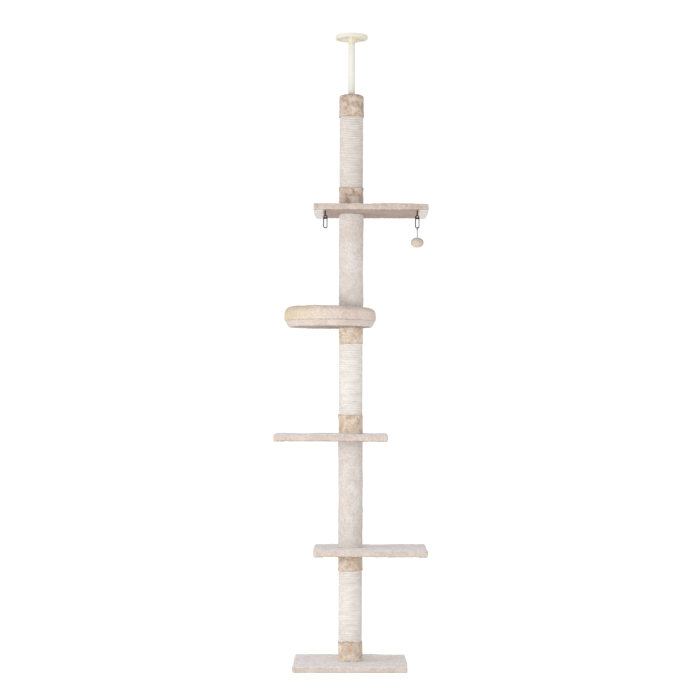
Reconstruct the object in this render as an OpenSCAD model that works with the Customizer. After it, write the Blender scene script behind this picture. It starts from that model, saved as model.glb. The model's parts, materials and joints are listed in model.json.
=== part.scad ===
// Floor-to-ceiling cat tree: five wrapped posts, three shelves, a round bed,
// a ceiling prop, and two spring hooks with one hanging toy.
// The origin is the post axis at the floor, +Z up, the front faces -Y.

/* [Base] */
// Width of the base, plush included
base_w = 400; // [320:5:520]
// Depth of the base, plush included
base_d = 340; // [260:5:460]
// Corner radius of the base
base_corner = 16; // [8:1:40]

/* [Shelves] */
// Width of each shelf, plush included
shelf_w = 400; // [330:5:480]
// Depth of each shelf, plush included
shelf_d = 300; // [220:5:380]
// Corner radius of each shelf
shelf_corner = 14; // [8:1:40]
// Distance from a shelf's centre to the post axis
shelf_offset = 70; // [0:5:100]
// Width of the plush turned under at each end of a shelf
hem_w = 34; // [20:1:37]
// Thickness of that turned-under layer
hem_t = 1.5; // [0.5:0.1:3]

/* [Boards and plush] */
// Thickness of every chipboard panel
board_t = 15; // [12:1:22]
// Thickness of the plush on the panels
plush_t = 3.5; // [2:0.5:5]
// Rounding of the plush along a panel's rims
plush_edge = 4; // [2:0.5:6]
// Thickness of the plush and felt under the base
liner_t = 1.5; // [1:0.1:3]
// Width of the plush turned under around the base
base_hem_w = 35; // [20:1:60]

/* [Posts] */
// Length of each post
post_len = 380; // [300:5:460]
// Outer diameter of the cardboard tube
tube_d = 72; // [60:1:84]
// Wall of the cardboard tube
tube_wall = 4; // [2:0.5:6]
// Thickness of the wooden plug at each end of a tube
plug_t = 20; // [20:1:40]
// Diameter of the sisal rope
rope_d = 6; // [4:0.5:8]
// Distance from one turn of rope to the next
rope_pitch = 6; // [4:0.5:9]
// Thickness of the plush sleeves and cuffs
sleeve_t = 7.2; // [5:0.2:10]
// Rounding of the ends of a cuff or sleeve
cuff_edge = 2.5; // [1:0.5:4]
// Height of the plush cuff at the top of a roped post
cuff_h = 60; // [40:1:90]
// Height of the plush cuff at the foot of a roped post
foot_cuff_h = 70; // [40:1:100]

/* [Bed] */
// Outer diameter of the bed's bolster
bed_d = 322; // [290:2:380]
// Width of the bolster
bolster_w = 40; // [38:1:50]
// Height of the bolster
bolster_h = 56; // [38:1:80]
// Rounding of the bolster's section
bolster_round = 18; // [6:1:18]
// How far the bolster bulges past the rim of the bed's floor
bolster_bulge = 4; // [0:1:12]
// How far the band round the bed's floor leans in at its lower edge
band_lean = 8; // [0:1:12]
// Gap between the bolster and the post that stands in the bed
bed_post_gap = 3.8; // [1:0.1:30]

/* [Joining hardware] */
// Diameter of the joining studs and the base bolt
stud_d = 8; // [6:1:10]
// How far a stud reaches into a post
stud_bite = 20; // [12:1:30]
// How far the base bolt reaches into the lowest post
bolt_bite = 17; // [12:1:30]
// Outer diameter of the threaded inserts
insert_d = 12; // [12:0.5:16]
// Length of the threaded inserts
insert_len = 18; // [10:1:19]
// Width across flats of the base bolt's head
bolt_head_af = 13; // [10:1:17]
// Height of the base bolt's head
bolt_head_h = 5.3; // [3:0.1:6]
// Diameter of the washer under that head
washer_d = 18; // [16:1:24]
// Thickness of that washer
washer_t = 1.6; // [1:0.1:2]

/* [Ceiling prop] */
// Thickness of the wooden cap on the top post
cap_t = 15; // [13:1:22]
// Outer diameter of the prop's steel tube
prop_d = 24; // [18:1:26]
// Wall of that tube
prop_wall = 1.5; // [1:0.1:2]
// Height of the tube's nut above the wooden cap
prop_h = 188; // [120:1:260]
// Length of tube inside the top post
prop_grip = 170; // [100:1:200]
// Diameter of the flange welded to the tube
flange_d = 60; // [52:1:64]
// Thickness of the flange
flange_t = 2.5; // [2:0.1:4]
// How far the flange's screws lie outside the middle of its ring
flange_screw_out = 1; // [0:0.5:2]
// Diameter of the flange's screws
flange_screw_d = 4; // [3:0.5:5]
// Length of the flange's screws
flange_screw_len = 12; // [8:1:12]
// Diameter of their countersunk heads
screw_head_d = 7.6; // [7:0.2:8.6]
// Height of those heads
screw_head_h = 2; // [1.6:0.1:2.4]
// Thickness of the wooden disc that steadies the tube's foot
guide_t = 12; // [8:1:20]
// Height of the tube's foot above the underside of that disc
foot_seat = 3; // [2:0.5:6]
// Diameter of the screw spindle
spindle_d = 12; // [10:1:12]
// Length of the spindle below its shoulder
spindle_len = 340; // [100:1:350]
// Length of the nut inside the tube
nut_len = 14; // [8:1:24]
// Height of the nut's collar on the end of the tube
collar_h = 3; // [2:0.5:5]
// Diameter of the pin that the disc turns on
pivot_d = 8; // [6:0.5:9]
// Thickness of the push-on clip that keeps the disc on its pin
clip_t = 1.2; // [1:0.1:1.6]
// Width of that clip's ring
clip_w = 3.5; // [2:0.5:4]
// Depth of the pocket in the disc that the clip lies in
clip_pocket_h = 4.5; // [4:0.1:5]
// Room around the clip in that pocket
clip_room = 1; // [0.5:0.5:1.5]
// Wall of the boss around the pocket
boss_wall = 2; // [1:0.5:3]
// Floor of that boss
boss_floor = 2.5; // [1:0.5:2.5]
// Diameter of the ceiling disc
disc_d = 114; // [90:1:140]
// Height of the disc's hub below its rim
hub_h = 14; // [10:1:34]
// Diameter of the hub at its lower end
hub_low_d = 25; // [20:1:26]
// Diameter of the hub where it meets the disc
hub_top_d = 30; // [26:1:34]
// Height of the disc's rim
rim_h = 11; // [7:0.5:12]
// Wall thickness of the disc and its rim
disc_wall = 3; // [2:0.5:4]
// Number of ribs under the disc
disc_ribs = 8; // [4:1:12]
// Width of those ribs
rib_w = 2.4; // [1.6:0.2:4]
// Thickness of the foam pad on the disc
pad_t = 3; // [2:0.5:6]

/* [Hangers] */
// Distance from a hanger to the end of its shelf
hanger_in = 40; // [40:1:60]
// Distance from a hanger to the front edge of its shelf
hanger_back = 22; // [20:1:60]
// Distance from the shelf to the hook's upper wire
hanger_drop = 18; // [14:1:30]
// Width of the webbing strap
strap_w = 5; // [4.6:0.1:5.4]
// Thickness of the webbing strap
strap_t = 0.9; // [0.6:0.1:1.1]
// Length of each screwed-down tab of the strap
tab_len = 9; // [8:0.5:12]
// Diameter of the hanger's screws
tab_screw_d = 2.4; // [2:0.1:2.8]
// Length of the hanger's screws
tab_screw_len = 13; // [8:1:14]

/* [Spring hooks] */
// Diameter of the hook's wire
wire_d = 3.5; // [3:0.1:3.6]
// Width of a hook
hook_w = 15.5; // [15:0.5:20]
// Length of a hook
hook_len = 47.5; // [45:0.5:64]
// Height of the solid head around the eye
hook_head_h = 14.7; // [14:0.1:17]
// Thickness of that head
hook_head_t = 2.6; // [2:0.1:3]
// Height of the eye that the strap passes through
eye_h = 5.8; // [5.6:0.1:6.4]
// Width of that eye
eye_w = 7.4; // [7:0.1:8]
// Thickness of the tongues on the nose and on the gate
tongue_t = 1.3; // [1:0.1:1.4]
// Distance from the gate's rivet to the hook's lower end
rivet_up = 9.8; // [9:0.1:12]
// Diameter of the gate's rivet
rivet_d = 1.6; // [1.2:0.1:1.7]

/* [Toy] */
// Diameter of the toy's cord
toy_cord_d = 2.2; // [1.8:0.1:2.6]
// Length of cord between the knot and the ball
toy_drop = 25; // [22:1:28]
// Diameter of the toy ball
ball_d = 44; // [36:1:52]
// Height of the toy ball
ball_h = 33; // [26:1:35]

/* [Fits] */
// Gap between a panel or tube and what is glued round it
glue_gap = 0.1; // [0.05:0.05:0.2]
// Gap around parts that screw or press together
thread_gap = 0.1; // [0.05:0.05:0.2]
// Gap between a stud and the hole drilled for it
stud_gap = 0.3; // [0.1:0.1:0.6]
// Gap between a stud and the hole punched in the plush
punch_gap = 2; // [0.5:0.5:4]
// Gap around the washer in its counterbore
washer_gap = 1.5; // [0.5:0.5:3]
// How far the felt stands back from that counterbore
felt_back = 2; // [0:0.5:5]
// Gap between the tube's nut and the spindle's shoulder above it
shoulder_gap = 0.1; // [0.05:0.05:0.15]
// Radial gap of the parts that turn or slide
running_gap = 0.05; // [0.02:0.01:0.1]
// Gap between parts that move past each other
body_gap = 0.3; // [0.2:0.05:0.4]

/* [Hidden] */

$fn = 64;
small_fn = 32;
cut = 1;

// Levels of the stack, from the floor up
base_t = liner_t + board_t + plush_t;
deck_t = board_t + 2 * plush_t;
function post_z(i) = base_t + (i - 1) * (post_len + deck_t);
function deck_z(i) = post_z(i) + post_len;
bed_z = deck_z(3);
top_shelf_z = deck_z(4);
cap_z = deck_z(5);
cap_top = cap_z + cap_t;

// Posts
tube_r = tube_d / 2;
tube_bore = tube_r - tube_wall;
wrap_r = tube_r + glue_gap;
sleeve_r = tube_r + sleeve_t;
rope_sink = 0.5; // how far the rope is pressed flat against the tube
rope_bed = rope_d / 2;
plug_r = tube_bore - glue_gap;
stud_r = stud_d / 2;
stud_hole = stud_r + stud_gap;
punch_r = stud_r + punch_gap;
rim_flat = 0.25; // straight stretch left between two rounded rims
insert_r = insert_d / 2;

// Fastening of the base
counterbore_r = washer_d / 2 + washer_gap;
counterbore_h = bolt_head_h + washer_t;
access_r = counterbore_r + felt_back;
washer_z = liner_t + counterbore_h - washer_t;
head_z = washer_z - bolt_head_h;

// Shelves: which way each one reaches, and the deck that it sits on
shelf_side = [1, -1, 1];
shelf_deck = [1, 2, 4];
function shelf_x(k) = shelf_side[k - 1] * shelf_offset;
function shelf_z(k) = deck_z(shelf_deck[k - 1]);

// Bed
bed_rim_r = bed_d / 2 - bolster_bulge;
bed_foot_r = bed_rim_r - band_lean;
bed_offset = bed_d / 2 - bolster_w - bed_post_gap - sleeve_r;

// Ceiling prop
prop_r = prop_d / 2;
prop_bore = prop_r - prop_wall;
prop_top = cap_top + prop_h;
prop_foot = cap_top - prop_grip;
flange_screw_ring = (prop_r + flange_d / 2) / 2 + flange_screw_out;
spindle_r = spindle_d / 2;
shoulder_z = prop_top + shoulder_gap;
hub_z = prop_top + body_gap;
rim_z = hub_z + hub_h;
disc_top = rim_z + rim_h;
pivot_r = pivot_d / 2;
clip_r = pivot_r + clip_w;
clip_z = disc_top - clip_pocket_h + body_gap;
pivot_top = clip_z + clip_t + 1;

// Hangers: the axis of a hook's upper wire lies at hanger_z
hanger_x = [shelf_x(3) - shelf_w / 2 + hanger_in, shelf_x(3) + shelf_w / 2 - hanger_in];
hanger_y = hanger_back - shelf_d / 2;
hanger_z = top_shelf_z - hanger_drop;
wire_r = wire_d / 2;
bow_r = hook_w / 2 - wire_r;
// The upper wire falls away to each side of the strap's middle by strap_sag
strap_sag = bow_r - sqrt(bow_r * bow_r - strap_w * strap_w / 4);
strap_in = wire_r + strap_sag + body_gap + 0.1;
strap_out = strap_in + strap_t;
tab_screw_y = strap_out + tab_len / 2;
tab_head_r = tab_screw_d / 2 + 1.2;
tab_head_h = 1.4;

// Spring hooks, measured down from the axis of the upper wire
low_wire = hook_len - wire_d;
head_end = hook_head_h - wire_r;
nose_end = head_end + 1.3; // where the round leg ends above the gate
nose_len = 3.6; // tongue below it
nose_pin_r = 0.6; // cross pin that stops the gate
nose_pin_z = nose_end + 2.8;
slot_w = tongue_t + 2 * body_gap;
gate_r = wire_r - 0.25;
gate_top = nose_end + body_gap;
gate_head_h = 6.5; // thicker end of the gate around the nose
rivet_z = low_wire + wire_r - rivet_up;
rivet_r = rivet_d / 2;
fork_up = 2; // fork above the rivet
shoulder_up = fork_up + 0.8; // gate's shoulder above the rivet

// Toy
cord_r = toy_cord_d / 2;
loop_r = wire_r + body_gap + 0.1 + cord_r;
toy_z = hanger_z - low_wire;
knot_r = toy_cord_d + 0.2;
knot_h = 5;
knot_low = toy_z - loop_r - knot_h + 0.5;
ball_top = knot_low - toy_drop;
cord_in_ball = 6;
ball_bore_h = cord_in_ball + 2;
// Route of the cord, down from the underside of the knot to inside the ball
cord_route = [
    [0, 0, 0], [0, 0, -4], [0.2, 0, -8], [0.3, 0, -12], [0.3, 0, -16],
    [0.2, 0, -20], [0, 0, -25], [0, 0, -28], [0, 0, -31]
];
cord_sides = 8;

// ---- shared shapes ----

// Half-section with rounded outer corners: w wide, h high
module soft_profile(w, h, edge) {
    square([w - edge, h]);
    translate([0, edge]) square([w, h - 2 * edge]);
    for (y = [edge, h - edge]) translate([w - edge, y]) circle(r = edge, $fn = small_fn);
}

// Half-section as above whose side leans out from foot_r below to rim_r above
module leaning_profile(foot_r, rim_r, h, edge) {
    lean = atan2(rim_r - foot_r, h - 2 * edge);
    side = edge * [cos(lean), -sin(lean)];
    low = [foot_r - edge, edge];
    high = [rim_r - edge, h - edge];
    polygon([[0, 0], [low.x, 0], low + side, high + side, [high.x, h], [0, h]]);
    for (centre = [low, high]) translate(centre) circle(r = edge, $fn = small_fn);
}

// Flat plate with round corners, centred on x and y
module plate(w, d, t, corner) {
    translate([corner - w / 2, -d / 2, 0]) cube([w - 2 * corner, d, t]);
    translate([-w / 2, corner - d / 2, 0]) cube([w, d - 2 * corner, t]);
    for (x = [corner - w / 2, w / 2 - corner], y = [corner - d / 2, d / 2 - corner])
        translate([x, y, 0]) cylinder(r = corner, h = t);
}

// One rim of a soft slab: a straight stretch and the corner that ends it
module soft_rim(half_w, half_d, t, corner, edge) {
    translate([half_w - corner, half_d - corner, 0]) {
        rotate([90, 0, 0]) linear_extrude(height = 2 * (half_d - corner))
            soft_profile(corner, t, edge);
        rotate_extrude(angle = 90) soft_profile(corner, t, edge);
    }
}

// Plate with round corners and rounded rims, as plush makes it
module soft_slab(w, d, t, corner, edge) {
    translate([corner - w / 2, corner - d / 2, 0]) cube([w - 2 * corner, d - 2 * corner, t]);
    for (a = [0, 180]) rotate(a) soft_rim(w / 2, d / 2, t, corner, edge);
    for (a = [90, 270]) rotate(a) soft_rim(d / 2, w / 2, t, corner, edge);
}

// Ring standing on z, with square ends
module ring(z, h, r_out, r_in) {
    translate([0, 0, z]) difference() {
        cylinder(r = r_out, h = h);
        translate([0, 0, -cut]) cylinder(r = r_in, h = h + 2 * cut);
    }
}

// Band of plush around a tube
module plush_band(z, h) {
    translate([0, 0, z]) rotate_extrude() translate([wrap_r, 0])
        soft_profile(sleeve_r - wrap_r, h, cuff_edge);
}

// Rope wound round a tube, turn beside turn, and flattened where it lies on the tube
module rope_winding(z, h) {
    turns = floor(h / rope_pitch);
    pitch = h / turns;
    core_r = wrap_r + rope_bed - rope_sink;
    translate([0, 0, z]) rotate_extrude() difference() {
        union() {
            translate([wrap_r, pitch / 4]) square([rope_bed, h - pitch / 2]);
            for (k = [0 : turns - 1]) translate([core_r, (k + 0.5) * pitch])
                circle(d = min(rope_d, 2 * pitch), $fn = small_fn);
        }
        translate([0, -cut]) square([wrap_r, h + 2 * cut]);
        translate([0, -cut - rope_d]) square([2 * core_r, cut + rope_d]);
        translate([0, h]) square([2 * core_r, cut + rope_d]);
    }
}

// ---- base ----

module base_board() {
    inset = 2 * (plush_t + glue_gap);
    color("burlywood") translate([0, 0, liner_t]) difference() {
        plate(base_w - inset, base_d - inset, board_t - glue_gap, base_corner - plush_t);
        translate([0, 0, -cut]) cylinder(r = stud_hole, h = board_t + 2 * cut);
        translate([0, 0, -cut]) cylinder(r = counterbore_r, h = counterbore_h + cut);
    }
}

module base_cover() {
    color([0.85, 0.80, 0.78]) difference() {
        soft_slab(base_w, base_d, base_t, base_corner, plush_edge);
        translate([0, 0, liner_t])
            plate(base_w - 2 * plush_t, base_d - 2 * plush_t, board_t, base_corner - plush_t);
        translate([0, 0, -cut])
            plate(base_w - 2 * base_hem_w, base_d - 2 * base_hem_w, liner_t + 2 * cut, base_corner);
        cylinder(r = punch_r, h = base_t + cut);
    }
}

module base_liner() {
    inset = 2 * (base_hem_w + body_gap);
    color("dimgray") difference() {
        plate(base_w - inset, base_d - inset, liner_t, base_corner);
        translate([0, 0, -cut]) cylinder(r = access_r, h = liner_t + 2 * cut);
    }
}

module base_bolt() {
    color("silver") {
        translate([0, 0, head_z]) cylinder(d = bolt_head_af / cos(30), h = bolt_head_h, $fn = 6);
        translate([0, 0, head_z]) cylinder(r = stud_r, h = base_t + bolt_bite - head_z);
    }
}

module base_washer() {
    color("silver") ring(washer_z, washer_t, washer_d / 2, stud_hole);
}

// ---- posts ----

module post_tube(i) {
    color("peru") ring(post_z(i), post_len, tube_r, tube_bore);
}

// Plug with the seat of a threaded insert; dir is 1 where the seat faces down, -1 up
module plug(z, dir) {
    color("tan") translate([0, 0, z]) mirror([0, 0, dir < 0 ? 1 : 0]) difference() {
        cylinder(r = plug_r, h = plug_t);
        translate([0, 0, -cut]) cylinder(r = insert_r + thread_gap, h = insert_len + cut);
        translate([0, 0, -cut]) cylinder(r = stud_hole, h = plug_t + 2 * cut);
    }
}

module post_plugs(i) {
    plug(post_z(i), 1);
    plug(deck_z(i), -1);
}

// The top post's upper plug and its lower guide hold the prop's tube
module top_post_plugs() {
    plug(post_z(5), 1);
    color("tan") ring(cap_z - plug_t, plug_t, plug_r, prop_r + body_gap);
    color("tan") difference() {
        ring(prop_foot - foot_seat, guide_t, plug_r, spindle_r + 1);
        translate([0, 0, prop_foot]) cylinder(r = prop_r + thread_gap, h = guide_t);
    }
}

module threaded_inserts() {
    color("goldenrod") {
        for (i = [1 : 5]) ring(post_z(i), insert_len, insert_r, stud_r + thread_gap);
        for (i = [1 : 4]) ring(deck_z(i) - insert_len, insert_len, insert_r, stud_r + thread_gap);
    }
}

module joining_studs() {
    color("silver") for (i = [1 : 4])
        translate([0, 0, deck_z(i) - stud_bite]) cylinder(r = stud_r, h = deck_t + 2 * stud_bite);
}

module post_sisal(i, low, high) {
    color([0.90, 0.87, 0.82]) rope_winding(post_z(i) + low, post_len - low - high);
}

module lower_cuff(i, h) {
    color([0.76, 0.69, 0.62]) plush_band(post_z(i), h - body_gap);
}

module upper_cuff(i, h, top) {
    color([0.80, 0.73, 0.66]) plush_band(top - h + body_gap, h - body_gap);
}

module post_sleeve(i) {
    color([0.88, 0.84, 0.80]) plush_band(post_z(i), post_len);
}

// ---- shelves ----

module shelf_board(k) {
    inset = 2 * (plush_t + glue_gap);
    color("burlywood") difference() {
        translate([shelf_x(k), 0, shelf_z(k) + plush_t])
            plate(shelf_w - inset, shelf_d - inset, board_t, shelf_corner - plush_t);
        translate([0, 0, shelf_z(k)]) cylinder(r = stud_hole, h = deck_t);
        if (k == 3) hanger_pilots();
    }
}

module shelf_cover(k) {
    color([0.85, 0.79, 0.75]) difference() {
        translate([shelf_x(k), 0, shelf_z(k)]) {
            soft_slab(shelf_w, shelf_d, deck_t, shelf_corner, plush_edge);
            for (side = [-1, 1]) shelf_hem(side);
        }
        translate([shelf_x(k), 0, shelf_z(k) + plush_t])
            plate(shelf_w - 2 * plush_t, shelf_d - 2 * plush_t, board_t, shelf_corner - plush_t);
        translate([0, 0, shelf_z(k) - cut]) cylinder(r = punch_r, h = deck_t + 2 * cut);
        if (k == 3) hanger_pilots();
    }
}

// Plush folded under one end of a shelf
module shelf_hem(side) {
    low = shelf_corner - shelf_w / 2;
    translate([side > 0 ? -low - hem_w + shelf_corner : low, shelf_corner - shelf_d / 2, -hem_t])
        cube([hem_w - shelf_corner, shelf_d - 2 * shelf_corner, hem_t + plush_t / 2]);
}

// Places where the hangers' screws go
module at_hanger_screws() {
    for (x = hanger_x, y = [-tab_screw_y, tab_screw_y])
        translate([x, hanger_y + y, top_shelf_z - strap_t]) children();
}

module hanger_pilots() {
    at_hanger_screws() cylinder(r = tab_screw_d / 2 + running_gap, h = tab_screw_len + 1, $fn = small_fn);
}

// ---- bed ----

module bed_board() {
    color("burlywood") difference() {
        translate([-bed_offset, 0, bed_z + plush_t])
            cylinder(r = bed_foot_r - plush_t - glue_gap, h = board_t, $fn = 96);
        translate([0, 0, bed_z]) cylinder(r = stud_hole, h = deck_t);
    }
}

module bed_cover() {
    color([0.88, 0.82, 0.78]) difference() {
        translate([-bed_offset, 0, bed_z]) rotate_extrude($fn = 96)
            leaning_profile(bed_foot_r, bed_rim_r, deck_t, plush_edge);
        translate([-bed_offset, 0, bed_z + plush_t])
            cylinder(r = bed_foot_r - plush_t, h = board_t, $fn = 96);
        translate([0, 0, bed_z - cut]) cylinder(r = punch_r, h = deck_t + 2 * cut);
    }
}

module bed_bolster() {
    half = bolster_w / 2;
    color([0.90, 0.84, 0.76]) translate([-bed_offset, 0, bed_z + deck_t]) rotate_extrude($fn = 96)
        translate([bed_d / 2 - half, 0]) {
            soft_profile(half, bolster_h, bolster_round);
            mirror([1, 0]) soft_profile(half, bolster_h, bolster_round);
        }
}

// ---- ceiling prop ----

module at_flange_screws() {
    for (a = [45 : 90 : 315]) rotate(a) translate([flange_screw_ring, 0, cap_top]) children();
}

// Countersunk screw pointing down from its head's face, grown by gap
module countersunk(gap) {
    translate([0, 0, -screw_head_h])
        cylinder(d1 = flange_screw_d + 2 * gap, d2 = screw_head_d + 2 * gap, h = screw_head_h);
    translate([0, 0, -flange_screw_len]) cylinder(d = flange_screw_d + 2 * gap, h = flange_screw_len);
}

module top_cap() {
    color("burlywood") difference() {
        ring(cap_z, cap_t, tube_r, prop_r + body_gap);
        translate([0, 0, cap_top - flange_t]) cylinder(d = flange_d + 2 * body_gap, h = flange_t + cut);
        at_flange_screws() countersunk(thread_gap);
    }
}

module top_cap_cover() {
    color([0.80, 0.73, 0.66]) translate([0, 0, cap_top]) rotate_extrude()
        translate([prop_r + body_gap, 0])
            soft_profile(sleeve_r - prop_r - body_gap, plush_t, min(cuff_edge, plush_t / 2 - rim_flat));
}

module prop_tube() {
    color([0.93, 0.92, 0.88]) difference() {
        union() {
            translate([0, 0, prop_foot]) cylinder(r = prop_r, h = prop_top - collar_h - prop_foot);
            translate([0, 0, cap_top - flange_t]) cylinder(d = flange_d, h = flange_t);
        }
        translate([0, 0, prop_foot - cut]) cylinder(r = prop_bore, h = prop_top - prop_foot + 2 * cut);
        at_flange_screws() countersunk(thread_gap);
    }
}

module flange_screws() {
    color("silver") at_flange_screws() countersunk(0);
}

module prop_nut() {
    color([0.93, 0.92, 0.88]) difference() {
        union() {
            translate([0, 0, prop_top - collar_h - nut_len])
                cylinder(r = prop_bore - thread_gap, h = nut_len + collar_h);
            translate([0, 0, prop_top - collar_h]) cylinder(r = prop_r, h = collar_h);
        }
        translate([0, 0, prop_top - collar_h - nut_len - cut])
            cylinder(r = spindle_r + running_gap, h = nut_len + collar_h + 2 * cut);
    }
}

module spindle() {
    color("silver") {
        translate([0, 0, shoulder_z - spindle_len]) cylinder(r = spindle_r, h = spindle_len);
        translate([0, 0, shoulder_z]) cylinder(r = pivot_r, h = pivot_top - shoulder_z);
    }
}

// Push-on ring that keeps the disc on its pin
module spindle_clip() {
    color("silver") ring(clip_z, clip_t, clip_r, pivot_r + running_gap);
}

module ceiling_disc() {
    disc_r = disc_d / 2;
    boss_h = clip_pocket_h + boss_floor;
    color([0.94, 0.91, 0.84]) difference() {
        union() {
            translate([0, 0, hub_z]) cylinder(d1 = hub_low_d, d2 = hub_top_d, h = hub_h + rim_h - disc_wall);
            ring(rim_z, rim_h, disc_r, disc_r - disc_wall);
            translate([0, 0, disc_top - disc_wall]) cylinder(r = disc_r, h = disc_wall);
            intersection() {
                translate([0, 0, rim_z + 1]) cylinder(r = disc_r - disc_wall / 2, h = rim_h - 1);
                for (a = [0 : 360 / disc_ribs : 359]) rotate(a) translate([0, -rib_w / 2, rim_z])
                    cube([disc_r, rib_w, rim_h]);
            }
            translate([0, 0, disc_top - boss_h]) cylinder(r = clip_r + clip_room + boss_wall, h = boss_h);
        }
        translate([0, 0, hub_z - cut]) cylinder(r = pivot_r + running_gap, h = disc_top - hub_z + 2 * cut);
        translate([0, 0, disc_top - clip_pocket_h]) cylinder(r = clip_r + clip_room, h = clip_pocket_h + cut);
    }
}

module ceiling_pad() {
    color("white") translate([0, 0, disc_top]) rotate_extrude()
        soft_profile(disc_d / 2 - 1.5, pad_t, 1);
}

// ---- hangers ----

// Webbing bent round the hook's upper wire, its ends turned out under the shelf
module hanger(side) {
    color([0.16, 0.14, 0.14]) difference() {
        translate([hanger_x[side], hanger_y, hanger_z]) rotate([90, 0, 90])
            linear_extrude(height = strap_w, center = true) {
                difference() {
                    circle(r = strap_out);
                    circle(r = strap_in);
                    translate([-2 * strap_out, 0]) square([4 * strap_out, 2 * strap_out]);
                }
                for (m = [0, 1]) mirror([m, 0]) {
                    translate([strap_in, 0]) square([strap_t, hanger_drop]);
                    translate([strap_in, hanger_drop - strap_t]) square([strap_t + tab_len, strap_t]);
                }
            }
        at_hanger_screws() translate([0, 0, -cut])
            cylinder(r = tab_screw_d / 2 + running_gap, h = strap_t + 2 * cut, $fn = small_fn);
    }
}

module hanger_screws() {
    color("silver") at_hanger_screws() {
        translate([0, 0, -tab_head_h]) cylinder(r = tab_head_r, h = tab_head_h, $fn = small_fn);
        translate([0, 0, -tab_head_h])
            cylinder(d = tab_screw_d, h = tab_head_h + tab_screw_len, $fn = small_fn);
    }
}

// ---- spring hooks ----

// Origin at the axis of the upper wire
module at_hook(side) {
    translate([hanger_x[side], hanger_y, hanger_z]) children();
}

// Half ring of wire; up is 1 for the upper bow, -1 for the lower one
module bow(up) {
    rotate([90, 0, up > 0 ? 0 : 180]) mirror([0, up > 0 ? 0 : 1, 0])
        rotate_extrude(angle = 180) translate([bow_r, 0]) circle(r = wire_r, $fn = small_fn);
}

// Upright round bar between two depths below the upper wire
module leg(x, top, bottom, r) {
    translate([x, 0, -bottom]) cylinder(r = r, h = bottom - top, $fn = small_fn);
}

// Flat block around the leg's axis, between two depths
module blade(x_low, x_high, thick, top, bottom) {
    translate([x_low, -thick / 2, -bottom]) cube([x_high - x_low, thick, bottom - top]);
}

// Solid head with the eye that the strap passes through
module hook_head() {
    rotate([90, 0, 0]) linear_extrude(height = hook_head_t, center = true) difference() {
        union() {
            translate([0, -bow_r]) circle(r = bow_r);
            translate([-bow_r, -head_end]) square([2 * bow_r, head_end - bow_r]);
        }
        for (m = [-1, 1]) translate([m * (eye_w - eye_h) / 2, -wire_r - eye_h / 2])
            circle(d = eye_h, $fn = small_fn);
        translate([(eye_h - eye_w) / 2, -wire_r - eye_h]) square([eye_w - eye_h, eye_h]);
    }
}

module hook(side) {
    color([0.30, 0.33, 0.36]) at_hook(side) difference() {
        union() {
            translate([0, 0, -bow_r]) bow(1);
            translate([0, 0, bow_r - low_wire]) bow(-1);
            leg(-bow_r, bow_r, low_wire - bow_r, wire_r);
            leg(bow_r, bow_r, nose_end, wire_r);
            leg(bow_r, rivet_z - fork_up, low_wire - bow_r, wire_r);
            hook_head();
            blade(bow_r - 1.2, bow_r + 1.2, tongue_t, nose_end - cut, nose_end + nose_len);
            translate([bow_r + 0.9, wire_r, -nose_pin_z]) rotate([90, 0, 0])
                cylinder(r = nose_pin_r, h = 2 * wire_r, $fn = small_fn);
        }
        blade(bow_r - wire_r - cut, bow_r + wire_r + cut, slot_w, rivet_z - fork_up - cut, rivet_z + fork_up);
        translate([bow_r, wire_r + cut, -rivet_z]) rotate([90, 0, 0])
            cylinder(r = rivet_r + running_gap, h = 2 * wire_r + 2 * cut, $fn = small_fn);
    }
}

module gate(side) {
    slot_end = nose_end + nose_len + 2 * body_gap;
    color([0.42, 0.45, 0.48]) at_hook(side) difference() {
        union() {
            leg(bow_r, gate_top, gate_top + gate_head_h, wire_r);
            leg(bow_r, gate_top + cut, rivet_z - shoulder_up, gate_r);
            blade(bow_r - gate_r, bow_r + gate_r, tongue_t, rivet_z - shoulder_up - cut, rivet_z);
            translate([bow_r, tongue_t / 2, -rivet_z]) rotate([90, 0, 0])
                cylinder(r = gate_r, h = tongue_t, $fn = small_fn);
        }
        blade(bow_r - wire_r - cut, bow_r + wire_r + cut, slot_w, gate_top - cut, slot_end);
        blade(bow_r, bow_r + wire_r + cut, wire_d + 2 * cut,
            nose_pin_z - nose_pin_r - body_gap, nose_pin_z + nose_pin_r + body_gap);
        translate([bow_r, wire_r, -rivet_z]) rotate([90, 0, 0])
            cylinder(r = rivet_r + running_gap, h = wire_d, $fn = small_fn);
    }
}

module gate_rivet(side) {
    color("silver") at_hook(side) translate([bow_r, 0, -rivet_z]) rotate([90, 0, 0]) {
        cylinder(r = rivet_r, h = wire_d + 0.8, center = true, $fn = small_fn);
        for (m = [0, 1]) mirror([0, 0, m]) translate([0, 0, wire_r])
            cylinder(r1 = rivet_r + 0.6, r2 = rivet_r + 0.2, h = 0.5, $fn = small_fn);
    }
}

// ---- toy ----

// Cord tied round the hook's lower wire, and its knot
module toy_loop() {
    color([0.30, 0.29, 0.29]) {
        translate([hanger_x[1], hanger_y, toy_z]) rotate([0, 90, 0])
            rotate_extrude() translate([loop_r, 0]) circle(r = cord_r, $fn = small_fn);
        translate([hanger_x[1], hanger_y, knot_low]) rotate_extrude($fn = small_fn)
            soft_profile(knot_r, knot_h, knot_r / 2 - 0.05);
    }
}

function unit(v) = v / norm(v);

// Direction of the route at its point k
function heading(p, k) = unit(p[min(k + 1, len(p) - 1)] - p[max(k - 1, 0)]);

// Ring of points round the route's point k
function cord_ring(p, k, r, n) =
    let (d = heading(p, k), u = unit(cross(d, [0, 1, 0])), v = cross(d, u))
    [for (j = [0 : n - 1]) p[k] + r * (cos(360 * j / n) * u + sin(360 * j / n) * v)];

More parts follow.
